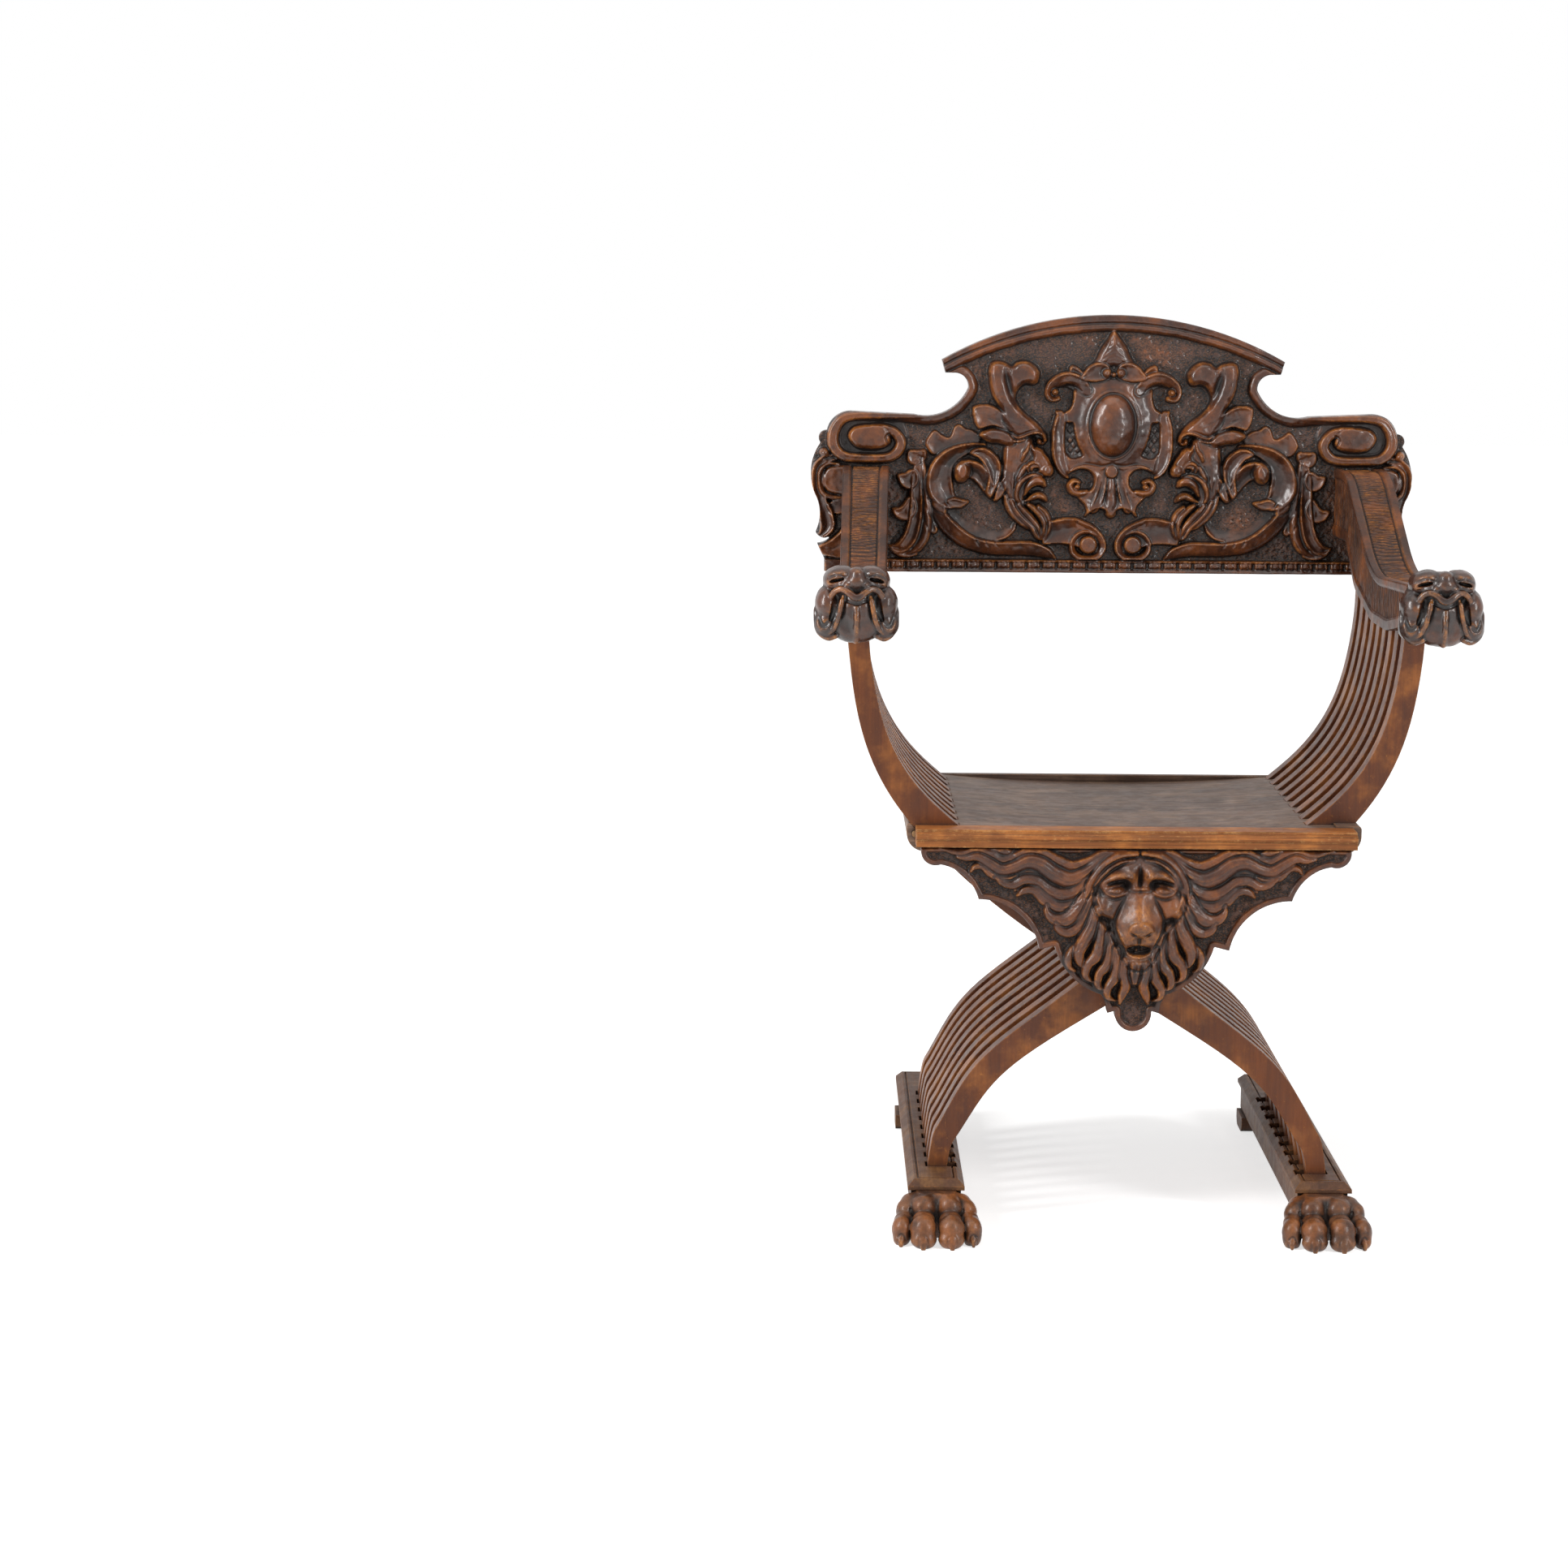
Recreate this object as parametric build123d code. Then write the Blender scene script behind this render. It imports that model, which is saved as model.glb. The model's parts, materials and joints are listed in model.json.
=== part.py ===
"""Savonarola chair: two interlaced groups of bent staves, carved back, arms, apron and runners.

Millimetres. -Y is the front and +Z is up. Left and right are as seen from the front, so the
left arm is at -X. The origin is on the floor under the middle of the chair's bounding box.
"""

import math
import os

from build123d import *

os.makedirs("parts", exist_ok=True)

# ---------------------------------------------------------------- driving dimensions
fit_gap = 0.3  # round a stave or peg in the hole that takes it
hidden_end_gap = 1.0  # past the end of a tenon or peg

# stave groups
staves_per_group = 9
stave_thickness = 20.2
stave_pitch = 40.8  # from one stave to the next of its own group
group_front = -168.0  # front face of the foremost stave
stave_top_x = 292.0
stave_top_width = 21.5
stave_seat_x = 208.0  # centre line at seat height
stave_seat_width = 34.0
crossing_height = 277.0
stave_crossing_width = 42.0
stave_foot_x = 201.5
stave_foot_width = 20.5

# seat
seat_height = 434.0
seat_board_thickness = 18.0
seat_dish = 8.0  # how far the middle is hollowed
seat_board_half_width = 212.0
side_rail_outer_x = 239.0
side_rail_height = 30.0
front_rail_depth = 39.0
front_rail_half_length = 230.0
rail_height = 18.0
rear_rail_depth = 14.0
rear_rail_height = 30.0

# apron under the front rail
apron_thickness = 22.0
apron_half_width = 226.0
apron_drop = 195.5  # from the rail's underside to the lowest lobe
apron_front_setback = 8.0  # behind the rail's nosing
lion_head_half_width = 43.0
lion_head_half_height = 58.0
lion_head_projection = 30.0

# runners
runner_centre_x = 204.5
plate_width = 60.0
plate_front = -206.0
plate_rear = 304.0
plate_top = 60.0
plate_thickness = 11.0
plate_bevel = 7.0
plate_field_groove = 1.5
socket_depth = 8.0  # of the stave feet in the plate
socket_clear_length = 11.0  # open notch on the inner side of each stave foot
beam_width = 53.0
beam_bottom = 18.0
rear_foot_length = 52.0
rear_foot_width = 62.0

# paws
paw_reach = 60.0  # in front of the plate
paw_width = 95.0
toe_radius = 15.0

# arms
arm_rear_x = 279.0  # centre line at the back panel
arm_front_x = 291.0
arm_rear_width = 52.0
arm_front_width = 47.0
arm_front = -229.0
arm_rear_top = 788.0
arm_front_top = 697.0
arm_low_top = 689.5
arm_rear_under = 712.0
arm_front_under = 654.0
arm_low_under = 638.0
arm_border_width = 9.0
arm_field_depth = 2.5
stave_tenon_length = 14.0
stave_tenon_width = 12.0
stave_tenon_thickness = 10.0

# masks on the arm ends
mask_centre_x = 296.0
mask_centre_z = 677.0
mask_half_width = 43.5
mask_half_height = 40.0
mask_length = 75.0

# back panel
panel_front = 200.0
panel_thickness = 26.0
panel_bottom = 667.0
panel_half_width = 326.0
shoulder_height = 849.0
crest_tip_x = 194.0
crest_tip_height = 908.0
crest_height = 959.5
ground_depth = 7.0  # of the carved field behind the rim
rim_width = 7.5
ear_reach = 15.5  # of the leaf beside each arm past the panel's end
volute_length = 92.0
volute_height = 57.0
volute_projection = 8.0
bead_diameter = 9.0
bead_pitch = 15.4

# fastenings
rod_diameter = 12.0
rod_cap_diameter = 26.0
rod_cap_thickness = 7.0
dowel_diameter = 10.0
dowel_length = 40.0
screw_diameter = 5.0
screw_head_diameter = 10.0
screw_head_height = 3.0

# ---------------------------------------------------------------- places worked out from them
slot = stave_pitch / 2
group_depth = 2 * staves_per_group * slot
group_rear = group_front + group_depth
seat_underside = seat_height - seat_board_thickness
rail_underside = seat_height - rail_height
plate_underside = plate_top - plate_thickness
front_rail_front = group_front - front_rail_depth
apron_front = front_rail_front + apron_front_setback
apron_back = apron_front + apron_thickness
panel_back = panel_front + panel_thickness
panel_ground = panel_front + ground_depth
far = 2000.0  # longer than the chair, for cutters


# ---------------------------------------------------------------- helpers
def xz(x, z, y=0.0):
    return Vector(x, y, z)


def face_of(edges):
    return make_face(Wire(edges))


def slab(face, front, back):
    """A face drawn in the XZ plane at y = 0, as a solid from y = front to y = back."""
    return Pos(0, front, 0) * extrude(face, amount=back - front, dir=(0, 1, 0))


def block(x0, x1, y0, y1, z0, z1):
    return Pos((x0 + x1) / 2, (y0 + y1) / 2, (z0 + z1) / 2) * Box(x1 - x0, y1 - y0, z1 - z0)


def mirrored(shape):
    return mirror(shape, about=Plane.YZ)


def rod_along_y(x, z, y0, y1, diameter):
    return Pos(x, (y0 + y1) / 2, z) * Rot(90, 0, 0) * Cylinder(diameter / 2, y1 - y0)


def rod_along_z(x, y, z0, z1, diameter):
    return Pos(x, y, (z0 + z1) / 2) * Cylinder(diameter / 2, z1 - z0)


def ellipsoid(x, y, z, rx, ry, rz):
    return Pos(x, y, z) * scale(Sphere(1), by=(rx, ry, rz))


def polyline_edges(points, radii):
    """Straight runs in the YZ plane joined by arcs, one radius for each inner point."""
    line = FilletPolyline(*[Vector(0, y, z) for y, z in points], radius=radii)
    return list(line.edges())


def symmetric_face(half):
    """A face from edges drawn from the centre line out and back to it, and their mirror."""
    return face_of(half + list(mirrored(Curve() + half).edges()))


# ---------------------------------------------------------------- staves
stave_stations = [  # x, z and width of the stave that runs from the +X arm to the -X runner
    (stave_top_x, arm_low_under + 12, stave_top_width),
    (stave_top_x - 5.5, seat_height + 0.74 * (arm_low_under - seat_height), stave_top_width + 1),
    (stave_top_x - 22, seat_height + 0.42 * (arm_low_under - seat_height), stave_top_width + 3.5),
    (stave_seat_x + 32, seat_height + 32, (stave_top_width + stave_seat_width) / 2 + 1.5),
    (stave_seat_x, seat_height - 3, stave_seat_width),
    (0.58 * stave_seat_x, (seat_height + crossing_height) / 2 + 4, stave_crossing_width + 4),
    (0, crossing_height, stave_crossing_width),
    (-0.31 * stave_foot_x, crossing_height - 44, (stave_crossing_width + stave_foot_width) / 2 + 2),
    (-0.59 * stave_foot_x, plate_top + 0.61 * (crossing_height - plate_top), stave_foot_width + 8),
    (-0.81 * stave_foot_x, plate_top + 0.40 * (crossing_height - plate_top), stave_foot_width + 6),
    (-0.95 * stave_foot_x, plate_top + 0.18 * (crossing_height - plate_top), stave_foot_width + 3),
    (-stave_foot_x, plate_top, stave_foot_width),
]


def stave_outline(growth=0.0):
    """The stave's two long edges, each moved out by growth, closed above and below."""
    centre = Spline(*[xz(x, z) for x, z, _ in stave_stations], tangents=[(0, 0, -1), (-0.12, 0, -1)])
    sides = {1: [], -1: []}
    for x, z, width in stave_stations:
        along = centre.tangent_at(xz(x, z))
        across = along.cross(Vector(0, 1, 0))
        for side, points in sides.items():
            points.append(xz(x, z) + across * side * (width / 2 + growth))
    right, left = [Spline(*points, tangents=[(0, 0, -1), (-0.12, 0, -1)]) for points in sides.values()]
    crowns = [xz((line @ 0).X, arm_rear_top) for line in (right, left)]
    feet = [xz((line @ 1).X, plate_top - socket_depth) for line in (right, left)]
    edges = [right, left, Line(*crowns), Line(*feet)]
    for line, crown, foot in zip((right, left), crowns, feet):
        edges += [Line(line @ 0, crown), Line(line @ 1, foot)]
    return face_of(edges)


def slot_front(group, index):
    """Front face of a stave: group 0 is the foremost, and group 1 lies in its gaps."""
    return group_front + (2 * index + group) * slot


stave_face = stave_outline()
stave_hole_face = stave_outline(fit_gap)


def stave_at(group, index):
    return slab(stave_face, slot_front(group, index), slot_front(group, index) + stave_thickness)


def stave_hole_at(group, index):
    front = slot_front(group, index) - fit_gap
    return slab(stave_hole_face, front, front + stave_thickness + 2 * fit_gap)


# ---------------------------------------------------------------- arms
def arm_plan(inset=0.0, front=arm_front, rear=panel_front):
    """The +X arm seen from above, as a tall block with both sides moved in by inset."""
    corners = [
        (arm_rear_x - arm_rear_width / 2 + inset, rear),
        (arm_rear_x + arm_rear_width / 2 - inset, rear),
        (arm_front_x + arm_front_width / 2 - inset, front),
        (arm_front_x - arm_front_width / 2 + inset, front),
    ]
    return extrude(make_face(Polyline(*corners, close=True)), amount=far)


slope_start = panel_front - 70  # where the top begins to fall
slope_end = panel_front - 237
arm_top_points = [
    (panel_front, arm_rear_top),
    (slope_start, arm_rear_top),
    (slope_end, arm_low_top),
    (arm_front, arm_front_top),
]
arm_under_points = [
    (panel_front, arm_rear_under),
    (panel_front - 84, arm_rear_under),
    (panel_front - 140, arm_low_under + 27),
    (slope_end - 5, arm_low_under + 1),
    (slope_end - 90, arm_low_under),
    (arm_front, arm_front_under),
]
arm_top_radii = [105, 180]
arm_under_radii = [24, 60, 110, 110]


def arm_side(top_shift=0.0):
    """Side view of the arm, or, with a shift, what lies above its lowered top."""
    top = polyline_edges(arm_top_points, arm_top_radii)
    if top_shift:
        lift = Vector(0, 0, far / 4)
        rear = Vector(0, panel_front, arm_rear_top)
        front = Vector(0, arm_front, arm_front_top)
        closing = [Line(rear, rear + lift), Line(rear + lift, front + lift), Line(front + lift, front)]
        return Pos(0, 0, -top_shift) * face_of(top + closing)
    under = polyline_edges(arm_under_points, arm_under_radii)
    ends = [
        Line((0, panel_front, arm_rear_under), (0, panel_front, arm_rear_top)),
        Line((0, arm_front, arm_front_under), (0, arm_front, arm_front_top)),
    ]
    return face_of(top + under + ends)


arm_body = extrude(arm_side(), amount=far, dir=(1, 0, 0)) & arm_plan()


def stave_shoulder(group, index):
    """A +X stave cut off by the underside of the arm."""
    return stave_at(group, index) - arm_body


def stave_tenon(group, index, growth=0.0, extra=0.0):
    """The tenon on a stave, or its mortise when grown, from inside the stave up into the arm."""
    crown = stave_below_arm(group, index).bounding_box().max.Z
    middle = slot_front(group, index) + stave_thickness / 2
    half_x = stave_tenon_width / 2 + growth
    half_y = stave_tenon_thickness / 2 + growth
    return block(
        stave_top_x - half_x, stave_top_x + half_x, middle - half_y, middle + half_y,
        crown - 30, crown + stave_tenon_length + extra,
    )


def stave_below_arm(group, index):
    return stave_shoulder(group, index).solids().sort_by(Axis.Z)[0]


rod_hole = rod_along_y(0, crossing_height, group_front - 1, group_rear + 1, rod_diameter + 2 * fit_gap)
stave_names = {0: "left_arm_stave", 1: "right_arm_stave"}
parts = {}
mortises = {}
for group, name in stave_names.items():
    mortises[group] = []
    for index in range(staves_per_group):
        stave = stave_below_arm(group, index) + stave_tenon(group, index) - rod_hole
        # the foremost group hangs from the left arm, at -X, so it is mirrored
        parts[f"{name}_{index + 1}"] = mirrored(stave) if group == 0 else stave
        mortises[group].append(stave_tenon(group, index, fit_gap, hidden_end_gap))

crossing_rod = rod_along_y(
    0, crossing_height, group_front - rod_cap_thickness, group_rear + rod_cap_thickness, rod_diameter
)
parts["crossing_rod"] = crossing_rod


def rod_cap(y, outward):
    """A turned button on the end of the rod, with its bore."""
    start, end = sorted((y, y + outward * rod_cap_thickness))
    cap = rod_along_y(0, crossing_height, start, end, rod_cap_diameter)
    rim = cap.edges().filter_by(GeomType.CIRCLE).sort_by(Axis.Y)[0 if outward < 0 else -1]
    cap = fillet(rim, rod_cap_thickness * 0.6)
    return cap - rod_along_y(0, crossing_height, start - 1, end + 1, rod_diameter + 2 * fit_gap)


parts["rod_caps"] = Compound([rod_cap(group_front, -1), rod_cap(group_rear, 1)])


def make_arm(group):
    field = extrude(arm_side(arm_field_depth), amount=far, dir=(1, 0, 0))
    field &= arm_plan(arm_border_width, arm_front + 1, panel_front)
    arm = arm_body - field
    for mortise in mortises[group]:
        arm -= mortise
    arm -= mask_dowel(fit_gap, hidden_end_gap)
    for screw_hole in back_screw_holes():
        arm -= screw_hole
    return mirrored(arm) if group == 0 else arm


# ---------------------------------------------------------------- masks on the arm ends
mask_back = arm_front
mask_centre_y = mask_back - mask_length / 2
mask_front = mask_back - mask_length


def mask_dowel(growth=0.0, extra=0.0):
    half = dowel_length / 2 + extra
    return rod_along_y(
        arm_front_x, (arm_front_top + arm_front_under) / 2, arm_front - half, arm_front + half,
        dowel_diameter + 2 * growth,
    )


def make_mask():
    """Grotesque head: round skull and cheeks, nose, brows and a curled lower jaw."""
    x, y, z = mask_centre_x, mask_centre_y, mask_centre_z
    wide, tall, deep = mask_half_width, mask_half_height, mask_length / 2
    mask = ellipsoid(x, y + deep * 0.22, z + 2, wide * 0.93, deep * 1.1, tall * 0.93)
    for side in (-1, 1):
        cheek_x = x + side * wide * 0.55
        brow_x = x + side * wide * 0.42
        mask += ellipsoid(cheek_x, y - 2, z - tall * 0.35, wide * 0.45, deep * 0.8, tall * 0.5)
        mask += ellipsoid(brow_x, y - deep * 0.35, z + tall * 0.72, wide * 0.42, deep * 0.5, tall * 0.25)
    mask += ellipsoid(x, y - deep * 0.55, z + tall * 0.62, wide * 0.26, deep * 0.42, tall * 0.3)
    mask += ellipsoid(x, y - deep * 0.2, z - tall * 0.45, wide * 0.6, deep * 0.8, tall * 0.55)
    mask &= block(x - wide, x + wide, mask_front, mask_back, z - tall, z + tall)
    return mask - mask_dowel(fit_gap, hidden_end_gap)


mask = make_mask()
parts["right_arm_mask"] = mask
parts["left_arm_mask"] = mirrored(mask)
parts["mask_dowels"] = Compound([mask_dowel(), mirrored(mask_dowel())])

# ---------------------------------------------------------------- seat
seat_rear = group_rear + rear_rail_depth
side_rail_inner_x = seat_board_half_width


def staves_through_seat(shape):
    """Cuts the slanted slots for both groups out of a seat piece."""
    for index in range(staves_per_group):
        shape -= mirrored(stave_hole_at(0, index))
        shape -= stave_hole_at(1, index)
    return shape


def make_seat_board():
    board = block(
        -seat_board_half_width, seat_board_half_width, group_front, group_rear,
        seat_underside, seat_height,
    )
    chord = seat_board_half_width - 20
    dish_radius = (chord**2 + seat_dish**2) / (2 * seat_dish)
    dish = rod_along_y(
        0, seat_height - seat_dish + dish_radius, group_front - 1, group_rear + 1, 2 * dish_radius
    )
    dish &= block(-chord, chord, group_front - 1, group_rear + 1, seat_underside, seat_height + far)
    return staves_through_seat(board - dish)


def make_side_rail():
    """Cheek outside the +X staves, rounded outside and notched for them."""
    bottom = seat_height - side_rail_height + 2
    corner = side_rail_height * 0.62
    width = side_rail_outer_x - side_rail_inner_x
    profile = Pos(side_rail_inner_x + width / 2, 0) * Rectangle(width, side_rail_height)
    lower = profile.vertices().group_by(Axis.X)[-1].sort_by(Axis.Y)[0]
    profile = fillet(lower, corner)
    rail = extrude(Plane.XZ * profile, amount=-group_depth)
    rail = Pos(0, group_front, bottom + side_rail_height / 2) * rail
    upper = rail.edges().filter_by(Axis.Y).group_by(Axis.X)[-1].sort_by(Axis.Z)[-1]
    return fillet(upper, 4)


def front_rail_profile():
    """Section of the front rail: top fillet, hollow, rounded nosing and a flat band."""
    front = front_rail_front
    back = group_front
    top = seat_height
    nosing = rail_height * 0.3
    band = rail_underside
    edges = [
        Line((0, back, top), (0, front + 9, top)),
        Line((0, front + 9, top), (0, front + 9, top - 2.5)),
        ThreePointArc((0, front + 9, top - 2.5), (0, front + 5, top - 3.1), (0, front + 3, top - 4.5)),
        ThreePointArc(
            (0, front + 3, top - 4.5), (0, front, top - 4.5 - nosing / 2), (0, front + 3, top - 4.5 - nosing)
        ),
        Line((0, front + 3, top - 4.5 - nosing), (0, front + 4, band)),
        Line((0, front + 4, band), (0, back, band)),
        Line((0, back, band), (0, back, top)),
    ]
    return face_of(edges)


def make_front_rail():
    rail = extrude(front_rail_profile(), amount=front_rail_half_length, dir=(1, 0, 0))
    rail += mirrored(rail)
    for x in apron_dowel_places:
        rail -= apron_dowel(x, fit_gap, hidden_end_gap)
    for x, y0, y1 in rail_dowel_places:
        rail -= rail_dowel(x, y0, y1, fit_gap)
    return rail


def make_rear_rail():
    rail = block(
        -side_rail_outer_x, side_rail_outer_x, group_rear, seat_rear,
        seat_height - rear_rail_height, seat_height,
    )
    rail = chamfer(rail.edges().filter_by(Axis.X).group_by(Axis.Y)[-1], 3)
    for x, y0, y1 in rail_dowel_places:
        rail -= rail_dowel(x, y0, y1, fit_gap)
    return rail


rail_dowel_diameter = 6.0
rail_dowel_half_length = 8.0
rail_dowel_z = seat_height - rail_height / 2
rail_dowel_x = side_rail_outer_x - 8.5
rail_dowel_places = [
    (side * rail_dowel_x, y - rail_dowel_half_length, y + rail_dowel_half_length)
    for side in (-1, 1)
    for y in (group_front, group_rear)
]


def rail_dowel(x, y0, y1, growth=0.0):
    return rod_along_y(x, rail_dowel_z, y0 - growth, y1 + growth, rail_dowel_diameter + 2 * growth)


# ---------------------------------------------------------------- apron
apron_dowel_places = [-150.0, -60.0, 60.0, 150.0]


def apron_dowel(x, growth=0.0, extra=0.0):
    middle = (apron_front + apron_back) / 2
    half = rail_height * 0.6 + extra
    diameter = dowel_diameter * 0.8 + 2 * growth
    return rod_along_z(x, middle, rail_underside - half, rail_underside + half, diameter)


def apron_outline():
    """Half outline, from the top edge round the scoops, teeth and lobes to the lowest point."""
    top = rail_underside
    drop = apron_drop
    w = apron_half_width
    edges = [
        Line((0, 0, top), (w - 2, 0, top)),
        ThreePointArc((w - 2, 0, top), (w - 3, 0, top - 12), (w - 22, 0, top - 19)),
        ThreePointArc((w - 22, 0, top - 19), (w - 48, 0, top - 32), (w - 62, 0, top - 55.5)),
        ThreePointArc((w - 62, 0, top - 55.5), (0.53 * w, 0, top - 72), (0.44 * w, 0, top - 108.5)),
        Line((0.44 * w, 0, top - 108.5), (0.37 * w, 0, top - 104.5)),
        ThreePointArc((0.37 * w, 0, top - 104.5), (0.285 * w, 0, top - 138), (34, 0, top - 156)),
        ThreePointArc((34, 0, top - 156), (29, 0, top - 166), (27, 0, top - 176)),
        Line((27, 0, top - 176), (19, 0, top - 173.5)),
        ThreePointArc((19, 0, top - 173.5), (15, 0, top - drop + 7.5), (0, 0, top - drop)),
    ]
    return symmetric_face(edges)


def make_apron():
    """Scalloped board with a lion's head and mane standing out of it."""
    apron = slab(apron_outline(), apron_front, apron_back)
    head_z = rail_underside - 94
    head_y = apron_front + 4
    wide = lion_head_half_width
    tall = lion_head_half_height
    deep = lion_head_projection
    relief = ellipsoid(0, head_y, head_z, wide * 1.55, 11, tall * 1.35)
    relief += ellipsoid(0, head_y, head_z + 12, wide, deep * 0.66, tall * 0.85)
    relief += ellipsoid(0, head_y - 4, head_z - 8, wide * 0.49, deep * 0.82, tall * 0.66)
    relief += ellipsoid(0, head_y - 9, head_z - 20, wide * 0.35, deep * 0.7, tall * 0.26)
    for side in (-1, 1):
        relief += ellipsoid(side * 118, head_y, rail_underside - 24, 82, 8, 15)
    relief &= block(-far, far, head_y - 60, apron_front + 6, 0, rail_underside - 3)
    apron += relief
    for x in apron_dowel_places:
        apron -= apron_dowel(x, fit_gap, hidden_end_gap)
    return apron


# ---------------------------------------------------------------- runners
runner_inner = runner_centre_x - plate_width / 2
runner_outer = runner_centre_x + plate_width / 2
dowel_heights = (plate_underside + beam_bottom) / 2


def paw_dowel(growth=0.0, extra=0.0):
    half = dowel_length / 2 + extra
    return rod_along_y(
        runner_centre_x, dowel_heights, beam_front - half, beam_front + half, dowel_diameter + 2 * growth
    )


beam_front = plate_front + 7
beam_rear = plate_rear - 5
plate_screw_places = [beam_front + 60, (beam_front + beam_rear) / 2, beam_rear - 60]


def plate_screw(y, growth=0.0):
    """A screw driven up through the beam into the plate."""
    tip = plate_underside + plate_thickness - socket_depth - 1 + growth
    shank = rod_along_z(runner_centre_x + 17, y, beam_bottom + 4 - growth, tip, screw_diameter + 2 * growth)
    head = rod_along_z(
        runner_centre_x + 17, y, beam_bottom + 4 - growth, beam_bottom + 4 + screw_head_height + growth,
        screw_head_diameter + 2 * growth,
    )
    return shank + head


def screw_access(y):
    return rod_along_z(
        runner_centre_x + 17, y, beam_bottom - 1, beam_bottom + 5, screw_head_diameter + 2 * fit_gap
    )


def make_plate(group):
    """Moulded top plate of the +X runner, with a notch for each stave of the group it takes."""
    plate = block(runner_inner, runner_outer, plate_front, plate_rear, plate_underside, plate_top)
    plate = chamfer(plate.faces().sort_by(Axis.Z)[-1].edges(), plate_bevel)
    edge = plate_bevel + 3
    ring = block(
        runner_inner + edge, runner_outer - edge, plate_front + edge, plate_rear - edge,
        plate_top - plate_field_groove, plate_top + 1,
    )
    ring -= block(
        runner_inner + edge + 2, runner_outer - edge - 2, plate_front + edge + 2, plate_rear - edge - 2,
        0, far,
    )
    plate -= ring
    foot_inner = stave_foot_x - stave_foot_width / 2
    foot_outer = stave_foot_x + stave_foot_width / 2 + 2
    for index in range(staves_per_group):
        front = slot_front(group, index) - fit_gap
        plate -= block(
            foot_inner - socket_clear_length, foot_outer + fit_gap, front, front + stave_thickness + 2 * fit_gap,
            plate_top - socket_depth, plate_top + 1,
        )
    for y in plate_screw_places:
        plate -= plate_screw(y, fit_gap)
    return plate


def make_beam():
    beam = block(
        runner_centre_x - beam_width / 2, runner_centre_x + beam_width / 2, beam_front, beam_rear,
        beam_bottom, plate_underside,
    )
    beam = chamfer(beam.faces().sort_by(Axis.Z)[0].edges().filter_by(Axis.Y), 1.5)
    beam -= paw_dowel(fit_gap, hidden_end_gap)
    for y in plate_screw_places:
        beam -= plate_screw(y, fit_gap) + screw_access(y)
    return beam


def make_rear_foot():
    """Block under the rear end of the beam, rounded at both ends."""
    rear = beam_rear
    front = rear - rear_foot_length
    round_over = beam_bottom * 0.62
    foot = block(
        runner_centre_x - rear_foot_width / 2, runner_centre_x + rear_foot_width / 2, front, rear, 0, beam_bottom
    )
    lower = foot.faces().sort_by(Axis.Z)[0].edges().filter_by(Axis.X)
    return fillet(lower, round_over)


def toe(x_root, x_tip, radius, reach):
    """One toe: a knuckle under the plate, a fuller one in front of it, a pad and a blunt claw."""
    front = plate_front - reach
    root_y = plate_front - 0.4 * radius
    root_z = plate_underside - 0.9 * radius
    tip_y = front + 1.35 * radius
    middle_x = (x_root + x_tip) / 2
    toe = ellipsoid(x_root, root_y, root_z, radius, 1.3 * radius, 0.95 * radius)
    toe += ellipsoid(middle_x, (root_y + tip_y) / 2, 0.6 * root_z + 0.3 * radius, 0.9 * radius, radius, radius)
    toe += ellipsoid(x_tip, tip_y, 1.05 * radius, 1.05 * radius, 1.2 * radius, 1.15 * radius)
    toe += ellipsoid(x_tip, front + 0.85 * radius, 0.5 * radius, 0.9 * radius, 0.8 * radius, 0.7 * radius)
    toe += ellipsoid(x_tip, front + 0.4 * radius, 0.3 * radius, 0.4 * radius, 0.4 * radius, 0.6 * radius)
    return toe


def make_paw():
    half = paw_width / 2
    paw = block(runner_inner + 3, runner_outer - 3, plate_front - 9, beam_front, 0, plate_underside)
    paw = chamfer(paw.faces().sort_by(Axis.Y)[0].edges().filter_by(Axis.Z), 6)
    outer_radius = 0.86 * toe_radius
    for side in (-1, 1):
        inner_x = runner_centre_x + side * toe_radius
        outer_x = runner_centre_x + side * (half - outer_radius)
        paw += toe(inner_x - side, inner_x, toe_radius, paw_reach)
        paw += toe(outer_x - side * 6, outer_x, outer_radius, paw_reach - 16)
    paw &= block(
        runner_centre_x - half, runner_centre_x + half, plate_front - paw_reach, beam_front, 0, plate_underside
    )
    return paw - paw_dowel(fit_gap, hidden_end_gap)


# ---------------------------------------------------------------- back panel
volute_x = panel_half_width - 2 - volute_length / 2
volute_z = shoulder_height - volute_height / 2


def back_screw_places():
    rise = (arm_rear_top - arm_rear_under) / 4
    middle = (arm_rear_top + arm_rear_under) / 2
    return [(arm_rear_x, middle - rise), (arm_rear_x, middle + rise)]


def back_screw(x, z, growth=0.0):
    """A screw driven from behind through the panel into the end of the arm."""
    head = panel_back - screw_head_height
    shank = rod_along_y(x, z, panel_front - 32 - growth, panel_back, screw_diameter + 2 * growth)
    return shank + rod_along_y(x, z, head - growth, panel_back, screw_head_diameter + 2 * growth)


def back_screw_holes():
    return [back_screw(x, z, fit_gap) for x, z in back_screw_places()]


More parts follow.
